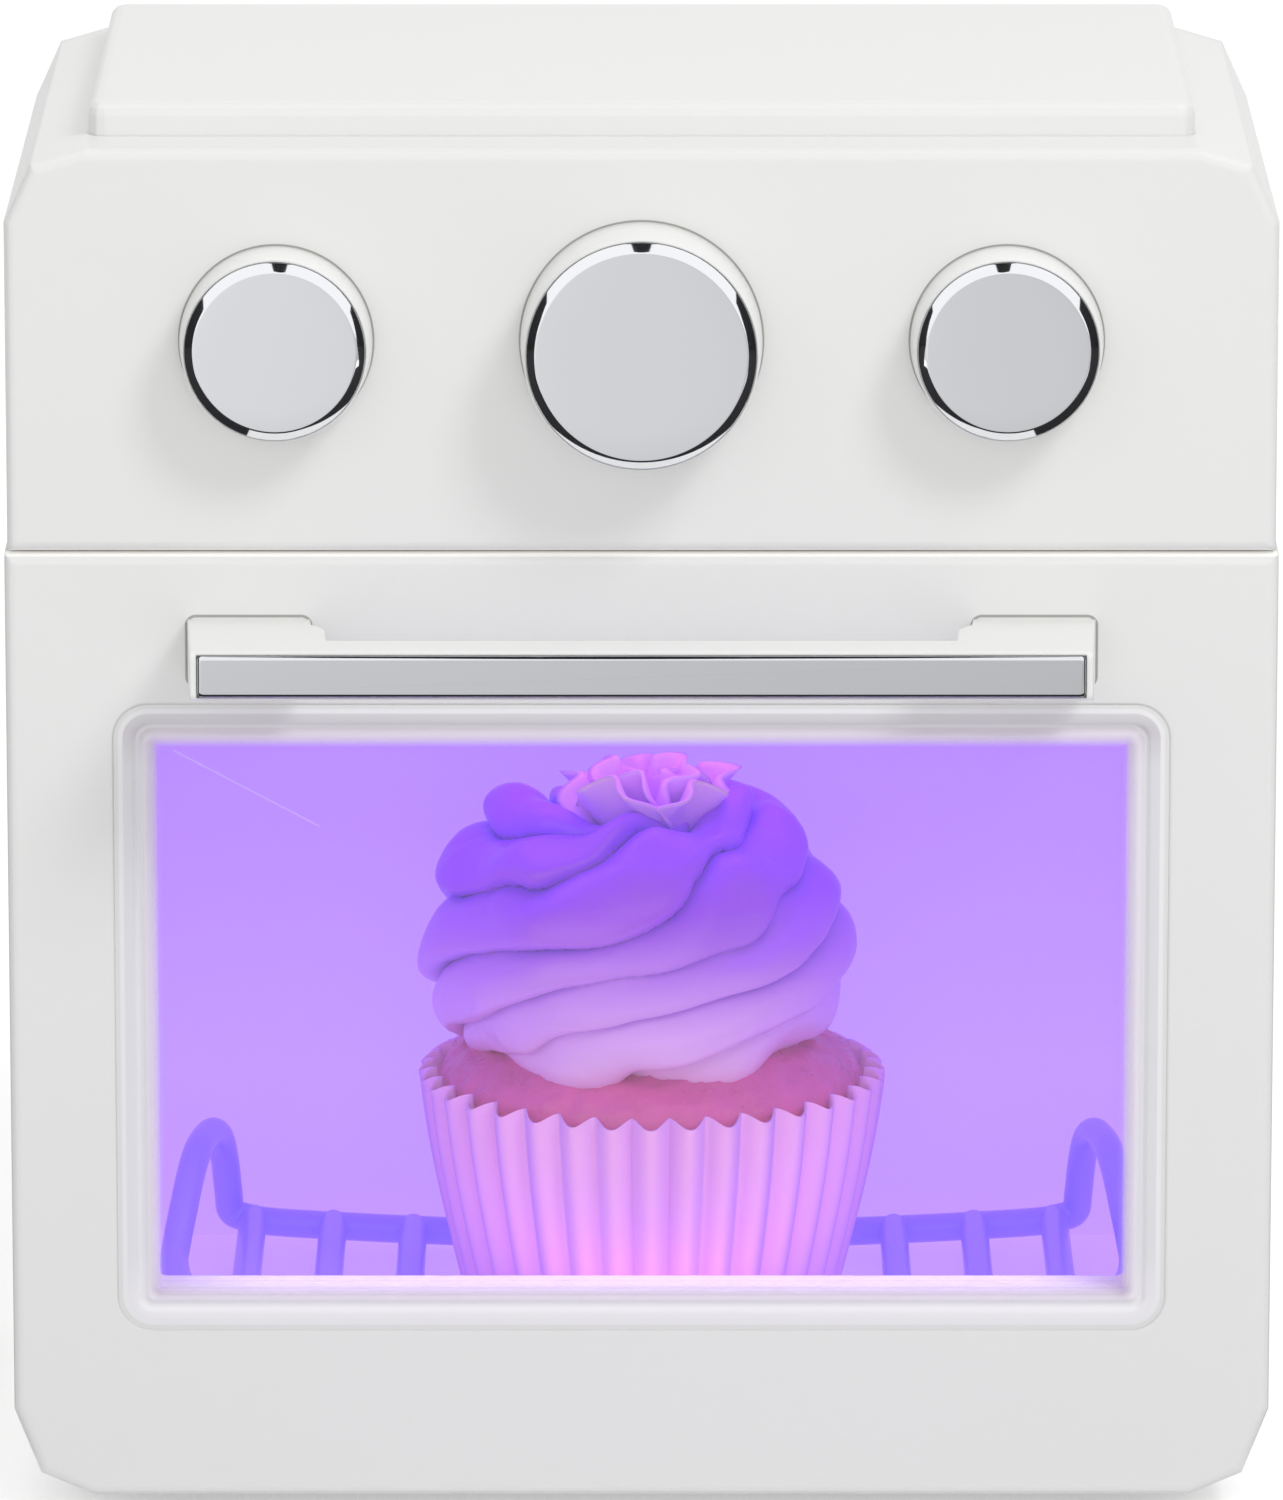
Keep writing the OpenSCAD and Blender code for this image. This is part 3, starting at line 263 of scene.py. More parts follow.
class Nodes:
    """The nodes of a material, a group or the world."""

    def __init__(self, tree):
        self.tree = tree

    def node(self, kind, **settings):
        """A new node of a kind, without the words ShaderNode."""
        n = self.tree.nodes.new("ShaderNode" + kind)
        for label, value in settings.items():
            setattr(n, label, value)
        return n

    def feed(self, socket, source):
        """Links a socket to another one, or sets it to a number or a colour."""
        if isinstance(source, bpy.types.NodeSocket):
            self.tree.links.new(source, socket)
        elif isinstance(source, tuple):
            socket.default_value = (*source, 1)
        else:
            socket.default_value = source

    def math(self, operation, *values):
        """One Math node on sockets or numbers."""
        n = self.node("Math", operation=operation)
        for socket, value in zip(n.inputs, values):
            self.feed(socket, value)
        return n.outputs[0]

    def times(self, *values):
        """The product of sockets or numbers."""
        out = values[0]
        for value in values[1:]:
            out = self.math("MULTIPLY", out, value)
        return out

    def place(self):
        """The point on the part, in the row's frame."""
        return self.node("TexCoord").outputs["Object"]

    def coordinate(self, axis):
        """X, Y or Z of the point on the part, in metres."""
        split = self.node("SeparateXYZ")
        self.feed(split.inputs[0], self.place())
        return split.outputs[axis]

    def ranged(self, source, low, high):
        """0 at low and 1 at high, and no more outside them."""
        n = self.node("MapRange")
        self.feed(n.inputs["From Min"], low)
        self.feed(n.inputs["From Max"], high)
        self.feed(n.inputs["Value"], source)
        return n.outputs[0]

    def ramp(self, source, stops):
        """Colours or grey levels along a value from 0 to 1."""
        n = self.node("ValToRGB")
        elements = n.color_ramp.elements
        while len(elements) < len(stops):
            elements.new(0.5)
        for element, (position, color) in zip(elements, stops):
            element.position = position
            element.color = (*color, 1) if isinstance(color, tuple) else (color, color, color, 1)
        self.feed(n.inputs[0], source)
        return n.outputs[0]

    def shade(self, color, mask, target):
        """Moves a colour towards a target, all the way where the mask is 1."""
        n = self.node("Mix", data_type="RGBA")
        self.feed(n.inputs["Factor"], mask)
        self.feed(n.inputs["A"], color)
        self.feed(n.inputs["B"], target)
        return n.outputs["Result"]

    def seam(self, x, z, half_width, half_height, corner, width=0.2):
        """Places the seam group; its sizes are in millimetres."""
        n = self.node("Group", node_tree=SEAM)
        for label, value in (("Middle X", x), ("Middle Z", z), ("Half Width", half_width),
                             ("Half Height", half_height), ("Corner", corner), ("Width", width)):
            self.feed(n.inputs[label], value * MM)
        return n

    def seen(self):
        """1 for rays from the camera, from metal or through the pane, and 0 for those that give light."""
        path = self.node("LightPath").outputs
        mirrored = self.math("MAXIMUM", path["Is Camera Ray"], path["Is Glossy Ray"])
        return self.math("MAXIMUM", mirrored, path["Is Transmission Ray"])


def new_group(name, inputs, outputs):
    """An empty node group: its nodes, the sockets that it is given and the sockets that it gives."""
    tree = bpy.data.node_groups.new(name, "ShaderNodeTree")
    for label, value in inputs:
        kind = "NodeSocketColor" if isinstance(value, tuple) else "NodeSocketFloat"
        socket = tree.interface.new_socket(name=label, in_out="INPUT", socket_type=kind)
        socket.default_value = value
    for label in outputs:
        kind = "NodeSocketColor" if label == "Color" else "NodeSocketFloat"
        tree.interface.new_socket(name=label, in_out="OUTPUT", socket_type=kind)
    return Nodes(tree), tree.nodes.new("NodeGroupInput").outputs, tree.nodes.new("NodeGroupOutput").inputs


def build_grain():
    """Fine surface detail: a colour with a broad change of tone, a roughness and a bump height."""
    g, given, gives = new_group(
        "grain", [("Color", (0.8, 0.8, 0.8, 1)), ("Tone", 0.03), ("Roughness", 0.4), ("Spread", 0.06),
                  ("Fine Scale", 900.0), ("Broad Scale", 30.0)], ["Color", "Roughness", "Height"])
    place = g.place()
    broad, fine = g.node("TexNoise"), g.node("TexNoise")
    for n, scale, detail in ((broad, "Broad Scale", 4), (fine, "Fine Scale", 3)):
        g.feed(n.inputs["Vector"], place)
        g.feed(n.inputs["Scale"], given[scale])
        g.feed(n.inputs["Detail"], detail)
    centred = g.math("SUBTRACT", broad.outputs["Fac"], 0.5)
    toned = g.node("VectorMath", operation="SCALE")
    g.feed(toned.inputs[0], given["Color"])
    g.feed(toned.inputs["Scale"], g.math("ADD", g.times(centred, given["Tone"]), 1.0))
    g.feed(gives["Color"], toned.outputs[0])
    g.feed(gives["Roughness"], g.math("MULTIPLY_ADD", centred, given["Spread"], given["Roughness"]))
    g.feed(gives["Height"], fine.outputs["Fac"])
    return g.tree


def build_speck():
    """Sparse dark dust specks on a moulded face, as a mask."""
    g, given, gives = new_group("speck", [("Scale", 60.0), ("Size", 0.035)], ["Mask"])
    cells = g.node("TexVoronoi")
    g.feed(cells.inputs["Vector"], g.place())
    g.feed(cells.inputs["Scale"], given["Scale"])
    chance = g.node("SeparateColor")
    g.feed(chance.inputs[0], cells.outputs["Color"])
    near = g.math("LESS_THAN", cells.outputs["Distance"], given["Size"])
    rare = g.math("GREATER_THAN", chance.outputs[0], 0.93)
    g.feed(gives["Mask"], g.times(near, rare))
    return g.tree


def build_seam():
    """The outline of a rounded rectangle on the front: a thin mask, and the distance from the outline."""
    g, given, gives = new_group(
        "seam", [("Middle X", 0.0), ("Middle Z", 0.0), ("Half Width", 0.01), ("Half Height", 0.01),
                 ("Corner", 0.001), ("Width", 0.0002)], ["Mask", "Distance"])
    point = g.node("SeparateXYZ")
    g.feed(point.inputs[0], g.place())
    beyond = g.node("CombineXYZ")
    ways = (("X", "Middle X", "Half Width"), ("Z", "Middle Z", "Half Height"))
    for span, (axis, middle, half) in zip(beyond.inputs, ways):
        off = g.math("ABSOLUTE", g.math("SUBTRACT", point.outputs[axis], given[middle]))
        straight = g.math("SUBTRACT", given[half], given["Corner"])
        g.feed(span, g.math("MAXIMUM", g.math("SUBTRACT", off, straight), 0.0))
    length = g.node("VectorMath", operation="LENGTH")
    g.feed(length.inputs[0], beyond.outputs[0])
    distance = g.math("SUBTRACT", length.outputs["Value"], given["Corner"])
    fade = g.node("MapRange", interpolation_type="SMOOTHSTEP")
    g.feed(fade.inputs["Value"], g.math("DIVIDE", g.math("ABSOLUTE", distance), given["Width"]))
    g.feed(fade.inputs["From Min"], 0.35)
    g.feed(fade.inputs["To Min"], 1.0)
    g.feed(fade.inputs["To Max"], 0.0)
    g.feed(gives["Mask"], fade.outputs[0])
    g.feed(gives["Distance"], distance)
    return g.tree


GRAIN = build_grain()
SPECK = build_speck()
SEAM = build_seam()


class Finish(Nodes):
    """A material round one Principled shader, with the grain on its colour, roughness and bump."""

    def __init__(self, name, color, rough, metallic=0.0, tone=0.03, spread=0.06, fine=900.0, broad=30.0,
                 bump=0.02, bump_depth=0.0002, bevel=0.0):
        self.material = bpy.data.materials.new(name)
        self.material.use_nodes = True
        self.material.cycles.emission_sampling = "NONE"
        super().__init__(self.material.node_tree)
        self.tree.nodes.clear()
        principled = self.node("BsdfPrincipled")
        self.shader = principled.inputs
        self.feed(self.node("OutputMaterial").inputs[0], principled.outputs[0])
        grain = self.node("Group", node_tree=GRAIN)
        self.grain = grain.inputs
        self.color = grain.outputs["Color"]
        for label, value in (("Color", color), ("Tone", tone), ("Roughness", rough), ("Spread", spread),
                             ("Fine Scale", fine), ("Broad Scale", broad)):
            self.feed(self.grain[label], value)
        relief = self.node("Bump")
        self.feed(relief.inputs["Strength"], bump)
        self.feed(relief.inputs["Distance"], bump_depth)
        self.feed(relief.inputs["Height"], grain.outputs["Height"])
        if bevel:
            soft_edge = self.node("Bevel", samples=4)
            self.feed(soft_edge.inputs["Radius"], bevel)
            self.feed(relief.inputs["Normal"], soft_edge.outputs[0])
        self.feed(self.shader["Base Color"], self.color)
        self.feed(self.shader["Roughness"], grain.outputs["Roughness"])
        self.feed(self.shader["Normal"], relief.outputs[0])
        self.feed(self.shader["Metallic"], metallic)

    def set(self, **values):
        """Sets the shader's sockets; an underscore stands for a space."""
        for label, value in values.items():
            self.feed(self.shader[label.replace("_", " ")], value)


def light_of(red, green, blue):
    """A screen colour of 0 to 255 as the amounts of light that a shader takes."""
    shares = [v / 255 for v in (red, green, blue)]
    return tuple(v / 12.92 if v <= 0.04045 else ((v + 0.055) / 1.055) ** 2.4 for v in shares)


# Finishes

FRONT_SKIN = row_y(0.3)
# Where the painted glow lights the gap over the door, and how strongly
GAP_NEAR = row_y(0.1)
GAP_FAR = row_y(1.8)
GAP_HALF = 0.0003
GAP_PAINTED_GLOW = 0.19

PANE_CLEAR = 0.05
PANE_MILKY = 0.88
SCRATCH_START = Vector((-0.0444, 0.0754))
SCRATCH_END = Vector((-0.0306, 0.0680))
SCRATCH_HALF = 0.00011
SCRATCH_WHITE = 0.18

# Painted contact shade: dark lines round the knobs and the handle's posts, where shade falls into the
# joins: x, z, half width, half height, corner and line width
CONTACT_SHADE_LINES = [(x, KNOB_Z, r + 0.06, r + 0.06, r + 0.06, 0.14) for x, r in
              ((-KNOB_GAP, SIDE_R), (0.0, MAIN_R), (KNOB_GAP, SIDE_R))]
CONTACT_SHADE_LINES += [(side * POST_X, POST_HIGH.z - 3.3, POST_W / 2 + 0.1, 3.4, 0.9, 0.2) for side in (-1, 1)]


def white_plastic(name, tint, rough, bevel, lines=(), gap=None):
    """Moulded white plastic with a soft sheen, rare specks and, on the front, thin lines of painted
    contact shade.

    A painted glow keeps the gap over the door pale, standing in for light that comes through the walls
    there.
    """
    w = Finish(name, (tint, tint, tint * 0.992), rough, tone=0.02, spread=0.10, fine=1400, broad=22,
               bump=0.05, bump_depth=0.00005, bevel=bevel)
    speck = w.node("Group", node_tree=SPECK).outputs["Mask"]
    color = w.shade(w.color, speck, (tint * 0.78, tint * 0.78, tint * 0.76))
    if lines:
        masks = [w.seam(*line).outputs["Mask"] for line in lines]
        drawn = masks[0]
        for mask in masks[1:]:
            drawn = w.math("MAXIMUM", drawn, mask)
        # Painted shade: dark lines on the front where shade falls between the panel and the knobs and the
        # handle's posts.
        front = w.math("LESS_THAN", w.coordinate("Y"), FRONT_SKIN)
        color = w.shade(color, w.times(drawn, front, 0.8), (tint * 0.32, tint * 0.31, tint * 0.28))
    if gap:
        # Painted glow: a faint warm light in the gap over the door.
        off = w.math("ABSOLUTE", w.math("SUBTRACT", w.coordinate("Z"), gap * MM))
        y = w.coordinate("Y")
        inside = w.times(w.math("LESS_THAN", off, GAP_HALF), w.math("GREATER_THAN", y, GAP_NEAR),
                         w.math("LESS_THAN", y, GAP_FAR), GAP_PAINTED_GLOW)
        w.set(Emission_Color=(1.0, 0.96, 0.88), Emission_Strength=inside)
    w.set(Base_Color=color, Specular_IOR_Level=0.5, Coat_Weight=0.12, Coat_Roughness=0.18)
    return w.material


def chrome_plating():
    """Bright plating; the strip in the handle, lower down, is a shade darker than the caps."""
    c = Finish("chrome_plating", (0.9, 0.905, 0.92), 0.05, metallic=1.0, tone=0.02, spread=0.03, fine=500,
               broad=60, bump=0.01, bump_depth=0.00004)
    over_strip = c.ranged(c.coordinate("Z"), 0.094, 0.098)
    c.feed(c.grain["Color"], c.ramp(over_strip, [(0.0, (0.83, 0.84, 0.87)), (1.0, (0.90, 0.91, 0.94))]))
    return c.material


def clear_pane():
    """The window: clear in the middle, milky where it lies on the door, with one faint scratch.

    Its border has painted shade at the top, a painted glow along the opening and two painted highlight
    lines.
    """
    c = Finish("clear_plastic", (0.93, 0.90, 1.0), 0.06, tone=0.02, spread=0.02, fine=200, broad=16,
               bump=0.02, bump_depth=0.00005)
    x, z = c.coordinate("X"), c.coordinate("Z")
    length = (SCRATCH_END - SCRATCH_START).length
    u = (SCRATCH_END - SCRATCH_START) / length

    def measure(by_x, by_z, shift):
        return c.math("ADD", c.math("ADD", c.times(x, by_x), c.times(z, by_z)), shift)

    def outline(distance, corner, width=0.2):
        return c.seam(0, PANE_Z, PANE_W / 2 - distance, PANE_H / 2 - distance, corner, width).outputs

    along = measure(u.x, u.y, -u.dot(SCRATCH_START))
    across = measure(-u.y, u.x, u.y * SCRATCH_START.x - u.x * SCRATCH_START.y)
    thin = c.times(c.math("LESS_THAN", c.math("ABSOLUTE", across), SCRATCH_HALF),
                   c.math("LESS_THAN", c.coordinate("Y"), row_y(0.6)))
    within = c.times(c.math("GREATER_THAN", along, 0.0), c.math("LESS_THAN", along, length))
    scratch = c.times(within, thin, SCRATCH_WHITE)

    edge = outline(PANE_LAP, 1.0)["Distance"]
    border = c.ranged(edge, -0.0010, 0.0003)
    c.set(Alpha=c.math("ADD", c.math("ADD", c.times(border, PANE_MILKY), scratch), PANE_CLEAR))

    # Painted shade: the border is darkest just under the handle, where its shadow falls, and lightest at
    # the bottom, where light falls.
    height = c.ranged(z, PANE_LOW.z * MM, PANE_HIGH.z * MM)
    tint = c.ramp(height, [(0.0, (0.93, 0.92, 0.94)), (0.06, (0.90, 0.89, 0.92)),
                           (0.12, (0.83, 0.835, 0.86)), (0.9, (0.81, 0.815, 0.84)),
                           (0.96, (0.71, 0.68, 0.72)), (1.0, (0.80, 0.795, 0.81))])
    color = c.shade(c.color, border, tint)
    # Painted glow: the border turns pale pink next to the opening, where the cavity's light comes
    # through.
    color = c.shade(color, c.times(c.ranged(edge, 0.0009, 0.0), 0.7), (0.96, 0.88, 1.0))
    skirt = c.ranged(outline(0.7, 2.6)["Distance"], 0.0, 0.0002)
    color = c.shade(color, skirt, (0.845, 0.845, 0.838))
    # Painted highlights: two pale lines where the border's rounded edge and its step catch the light.
    outer, inner = outline(0.62, 2.7, 0.32)["Mask"], outline(2.1, 1.6, 0.28)["Mask"]
    color = c.shade(color, c.math("MAXIMUM", outer, c.times(inner, 0.6)), (0.93, 0.93, 0.95))
    c.set(Base_Color=color, Specular_IOR_Level=0.25)
    return c.material


def lilac_liner():
    """The lined cavity: pale lilac plastic with a painted violet glow that stands in for the violet
    lamps' light.
    """
    g = Finish("lilac_plastic", (0.22, 0.15, 0.42), 0.5, tone=0.04, spread=0.1, fine=600, broad=18,
               bump=0.03, bump_depth=0.0001)
    # Painted light: the glow is brightest at the floor and fades towards the top.
    height = g.ranged(g.coordinate("Z"), 0.011, 0.080)
    glow = g.ramp(height, [(0.0, (0.50, 0.27, 0.80)), (0.25, (0.48, 0.27, 0.76)),
                           (0.6, (0.43, 0.22, 0.72)), (1.0, (0.39, 0.20, 0.70))])
    g.set(Emission_Color=glow, Emission_Strength=0.85)
    return g.material


def violet_wire():
    """Violet paint on the rack's wires, with a faint painted violet glow."""
    w = Finish("violet_wire", (0.36, 0.24, 0.95), 0.35, tone=0.06, spread=0.1, fine=500, broad=80,
               bump=0.04, bump_depth=0.0001)
    # Painted glow: the wires give off a little violet light.
    w.set(Emission_Color=light_of(150, 110, 255), Emission_Strength=0.10, Coat_Weight=0.2)
    return w.material


def fluted_paper():
    """Thin pink paper, with painted violet light where it is seen on edge and a faint painted pink glow.
    """
    p = Finish("fluted_paper", (0.86, 0.43, 0.84), 0.75, tone=0.08, spread=0.08, fine=1800, broad=60,
               bump=0.15, bump_depth=0.0001)
    # Painted light: violet on the edge-on flutes, where the walls' light falls, and a faint pink glow all
    # over.
    facing = p.node("LayerWeight").outputs["Facing"]
    p.set(Base_Color=p.shade(p.color, p.times(facing, 0.8), (0.46, 0.24, 0.86)),
          Emission_Color=light_of(236, 154, 238), Emission_Strength=0.09, Specular_IOR_Level=0.2)
    return p.material


def play_cake():
    """The cake's deep pink crust, uneven in tone and gloss, with a faint painted glow."""
    c = Finish("play_cake", (0.70, 0.10, 0.40), 0.34, tone=0.35, spread=0.5, fine=700, broad=260,
               bump=0.5, bump_depth=0.0004)
    # Painted glow: a little warm pink light given off by the crust.
    c.set(Emission_Color=light_of(230, 110, 120), Emission_Strength=0.03, Specular_IOR_Level=0.6)
    return c.material


def piped_frosting(name, low_color, high_color, low, high):
    """Smooth frosting whose colour changes between two heights, as painted light and shade."""
    f = Finish(name, (0.6, 0.4, 0.98), 0.32, tone=0.05, spread=0.1, fine=900, broad=120,
               bump=0.08, bump_depth=0.0001)
    # Painted light and shade: the colour moves from the low colour to the high colour with height.
    height = f.ranged(f.coordinate("Z"), low, high)
    f.feed(f.grain["Color"], f.ramp(height, [(0.0, low_color), (1.0, high_color)]))
    f.set(Specular_IOR_Level=0.5)
    return f.material


def plain(name, color, rough, metallic=0.0, **detail):
    """A finish with nothing but the grain."""
    return Finish(name, color, rough, metallic, **detail).material


FINISHES = {
    "white_plastic": white_plastic("white_plastic", 0.845, 0.38, 0.0005, CONTACT_SHADE_LINES, DOOR_TOP + 0.1),
    "bright_plastic": white_plastic("bright_plastic", 0.89, 0.34, 0.0004),
    "chrome_plating": chrome_plating(),
    "clear_plastic": clear_pane(),
    "lilac_plastic": lilac_liner(),
    "frosted_plastic": plain("frosted_plastic", (0.8, 0.7, 1.0), 0.5),
    "black_plastic": plain("black_plastic", (0.03, 0.03, 0.033), 0.5, bump=0.1),
    "zinc_screws": plain("zinc_screws", (0.55, 0.56, 0.57), 0.35, 1.0, bump=0.05),
    "spring_steel": plain("spring_steel", (0.6, 0.61, 0.62), 0.3, 1.0, bump=0.05),
    "cell_jackets": plain("cell_jackets", (0.03, 0.035, 0.04), 0.3),
    "green_board": plain("green_board", (0.02, 0.12, 0.05), 0.35, tone=0.2, broad=200),
    "violet_leds": plain("violet_leds", (0.5, 0.3, 1.0), 0.15),
    "sensor_glass": plain("sensor_glass", (0.6, 0.7, 0.65), 0.1),
    "nickel_magnets": plain("nickel_magnets", (0.65, 0.63, 0.6), 0.2, 1.0),
    "soft_feet": plain("soft_feet", (0.55, 0.55, 0.54), 0.8, bump=0.1),
    "violet_wire": violet_wire(),
    "fluted_paper": fluted_paper(),
    "play_cake": play_cake(),
    # Painted light and shade: the swirl is pale low down, where light comes in through the window, and
    # deep violet at the top.
    "play_frosting": piped_frosting("play_frosting", (0.92, 0.53, 1.0), (0.45, 0.08, 1.0), 0.039, 0.055),
    # Painted shade: the petals are deep violet at their feet and pale at their tips, where light falls.
    "play_petals": piped_frosting("play_petals", (0.62, 0.20, 1.0), (1.0, 0.56, 0.98), 0.0595, 0.0655),
}

SLOTS = {part["node"]: part["material_slot"] for part in frame["record"]["subparts"]}
for node, ob in frame["nodes"].items():
    ob.data.materials.clear()
    ob.data.materials.append(FINISHES[SLOTS[node]])


# Knobs. The points of a profile are (radius, distance in front of the panel)

SHAFT_R = 2.45
GROOVE_R = 2.2
SHAFT = [(0.0, 0.4), (SHAFT_R, 0.4), (SHAFT_R, -6.1), (GROOVE_R, -6.15), (GROOVE_R, -6.9),
         (SHAFT_R, -6.95), (SHAFT_R, -8.0), (2.1, -8.2), (0.0, -8.2)]
SWITCH_END = [(0.0, -8.0), (2.0, -8.0), (2.0, -12.6), (0.0, -12.6)]

FOOT_ROUND = 0.5
CAP_RIM = 0.95
CAP_LEAN = math.radians(28)
CAP_SOFT = 0.45
CAP_CRISP = 0.12


def knob_body(r, h):
    """The profile of the white body: a rounded foot, a slight taper, a lip and a well for the cap."""
    lip = h - 0.16
    well = h - 1.4
    front = r - 0.3
    profile = [(0.0, 0.35), (r - FOOT_ROUND, 0.3)]
    profile += [(r - FOOT_ROUND + FOOT_ROUND * math.sin(a), 0.8 - FOOT_ROUND * math.cos(a))
                for a in quarter(5)]
    profile += [(front - 0.02, lip - 0.28), (front - 0.05, lip - 0.14), (front - 0.11, lip - 0.04),
                (front - 0.2, lip), (r - 0.56, lip - 0.04), (r - 0.58, well), (0.0, well)]
    return profile


def knob_cap(r, h):
    """The profile of the chrome cap: a crisp edge, a leaning rim, a soft turn and a nearly flat face."""
    edge = r - 0.6
    back = h - 1.35
    face = h + 0.38
    flat = CAP_RIM - CAP_CRISP * (1 - math.sin(CAP_LEAN)) - CAP_SOFT * math.sin(CAP_LEAN)
    drop = CAP_SOFT * (1 - math.cos(CAP_LEAN)) + CAP_CRISP * math.cos(CAP_LEAN)
    drop += math.tan(CAP_LEAN) * flat
    profile = [(0.0, back), (edge, back)]
    profile += [(edge - CAP_CRISP + CAP_CRISP * math.cos(a), face - drop + CAP_CRISP * math.sin(a))
                for a in ((math.pi / 2 - CAP_LEAN) * k / 3 for k in range(4))]
    profile += [(edge - CAP_RIM + CAP_SOFT * math.sin(a), face - CAP_SOFT + CAP_SOFT * math.cos(a))
                for a in (CAP_LEAN * k / 10 for k in range(10, -1, -1))]
    profile += [(edge - CAP_RIM - 0.2, face + 0.005), (edge * 0.66, face + 0.02),
                (edge * 0.33, face + 0.03), (0.0, face + 0.032)]
    return profile


def make_knob(side, x, r, h):
    """A white turned body on its shaft, and the chrome cap let into it."""
    parts = [lathe(knob_body(r, h), x, KNOB_Z), lathe(SHAFT, x, KNOB_Z, 48)]
    if side == "main":
        parts.append(lathe(SWITCH_END, x, KNOB_Z, 32))
    piece(f"knob_{side}_body", join(parts), "bright_plastic", f"{side}_knob", f"knob_{side}", 40)
    cap = lathe(knob_cap(r, h), x, KNOB_Z)
    piece(f"knob_{side}_chrome", cap, "chrome_plating", f"{side}_knob", f"knob_{side}_cap", 50)


make_knob("left", -KNOB_GAP, SIDE_R, -SIDE_LOW.y)
make_knob("main", 0.0, MAIN_R, -KNOB_LOW.y)
make_knob("right", KNOB_GAP, SIDE_R, -SIDE_LOW.y)


# Handle strip and window pane

STRIP_ROUND = 0.36

# How far in from the pane's outline, and how deep behind the panel's face
PANE_BORDER = [(0.0, 1.4), (0.0, 0.08), (0.1, 0.05), (0.5, 0.05), (0.65, 0.0), (1.7, 0.0), (1.9, 0.05),
               (2.05, 0.18), (2.15, 0.32), (2.25, 0.36), (2.6, 0.36), (2.75, 0.3), (2.9, 0.16),
               (3.1, 0.1), (3.25, 0.1)]
RIM_THICK = 1.2
RIM_ROOT, RIM_END = 1.35, 3.0


def make_strip():
    """The chrome strip in the handle's front, with rounded front edges."""
    low, high = extent("handle_trim")
    outline = fillet([(high.x, low.z), (high.x, high.z), (low.x, high.z), (low.x, low.z)], 0.6, 5)
    levels = [(STRIP_ROUND * 1.25, low.y)]
    levels += [(STRIP_ROUND * (1 - math.sin(a)), low.y + STRIP_ROUND * (1 - math.cos(a)))
               for a in quarter(6)]
    levels += [(0, high.y)]
    strip = stepped_plate(outline, levels)
    piece("handle_chrome_strip", strip, "chrome_plating", "door", "handle_trim", 50)


def make_pane():
    """The clear pane: its border has a rounded edge and a step, and a locating rim stands behind it."""
    outline = round_rect(PANE_W + 0.16, PANE_H + 0.16, 3.38, PANE_Z, 10)
    rim_w = PANE_W - 2 * PANE_LAP - 0.1
    rim_h = PANE_H - 2 * PANE_LAP - 0.1
    outside, inside = (round_rect(rim_w - 2 * d, rim_h - 2 * d, 1.3 - d * 0.5, PANE_Z, 6)
                       for d in (0.0, RIM_THICK))
    section = ((outside, RIM_ROOT), (outside, RIM_END), (inside, RIM_END), (inside, RIM_ROOT),
               (outside, RIM_ROOT))
    rim = [[(x, y, z) for x, z in loop] for loop, y in section]
    sheet = join([stepped_plate(outline, PANE_BORDER[::-1]), ring_solid(rim, caps=False)])
    piece("window_sheet", sheet, "clear_plastic", "door", "window_pane", 40)


make_strip()
make_pane()


# Rack

WIRE_R = 1.4129
RACK_X = 1.2
RACK_Z = 14.22
RACK_HALF = 42.7
RACK_BACK = 54.5
RACK_FRONT = 13.6
SAG = 1.7
BARS = 11
BAR_PITCH = 8.03


def sag(x):
    """The height of the wires, which hang lowest in the middle."""
    return RACK_Z - SAG * (1 - (x / RACK_HALF) ** 2)


def rack_half(side):
    """Half of the bent wire: along the back, up over the raised loop, and along the front."""
    points = [(x, RACK_BACK, sag(x)) for x in (0, 8, 16, 24, 32, 38.2)]
    points += [(40.7, RACK_BACK, sag(40.7) + 0.25), (42.3, RACK_BACK, 15.0), (42.6, 54.2, 17.0),
               (42.9, 53.4, 20.5), (43.3, 51.4, 23.4), (43.9, 48.4, 24.9), (44.6, 44.6, 25.2),
               (45.2, 40.6, 24.9), (45.8, 37.4, 23.2), (46.4, 35.0, 20.6), (47.0, 32.8, 17.8),
               (47.2, 31.0, 16.2), (46.6, 28.0, 15.1), (45.2, 23.4, 14.5), (43.6, 18.5, 14.3),
               (41.8, 15.2, 14.2), (39.2, RACK_FRONT, sag(39.2))]
    points += [(x, RACK_FRONT, sag(x)) for x in (32, 24, 16, 8, 0)]
    p = [Vector(q) for q in points]
    steered = [p[0] + (p[0] - p[1])] + p + [p[-1] + (p[-1] - p[-2])]
    path = [Vector((RACK_X + side * q.x, q.y, q.z)) for q in curve_through(steered, 7)]
    return tube(path, [WIRE_R] * len(path))


def rack_bar(i):
    """One of the straight bars, which end on the bent wire."""
    x = i * BAR_PITCH
    z = sag(x) + 0.2
    return rounded_bar(Vector((RACK_X + x, RACK_FRONT, z)), Vector((RACK_X + x, RACK_BACK, z)), WIRE_R)


wires = [rack_half(1), rack_half(-1)] + [rack_bar(i - BARS // 2) for i in range(BARS)]
piece("rack_wires", join(wires), "violet_wire", "cabinet", "rack", 60)


# Paper case and cake

FOOT_R = 18.4
RIM_R = 22.3
FLUTES = 36
PAPER = 0.3
CAKE_GAP = 1.35
DOME_LOW = CASE_Z + CASE_H - 1.6
DOME_H = 6.5


def case_r(t):
    """The case's radius at a share t of its height."""
    return FOOT_R + (RIM_R - FOOT_R) * (0.55 * math.sin(math.pi / 2 * t) + 0.45 * t)


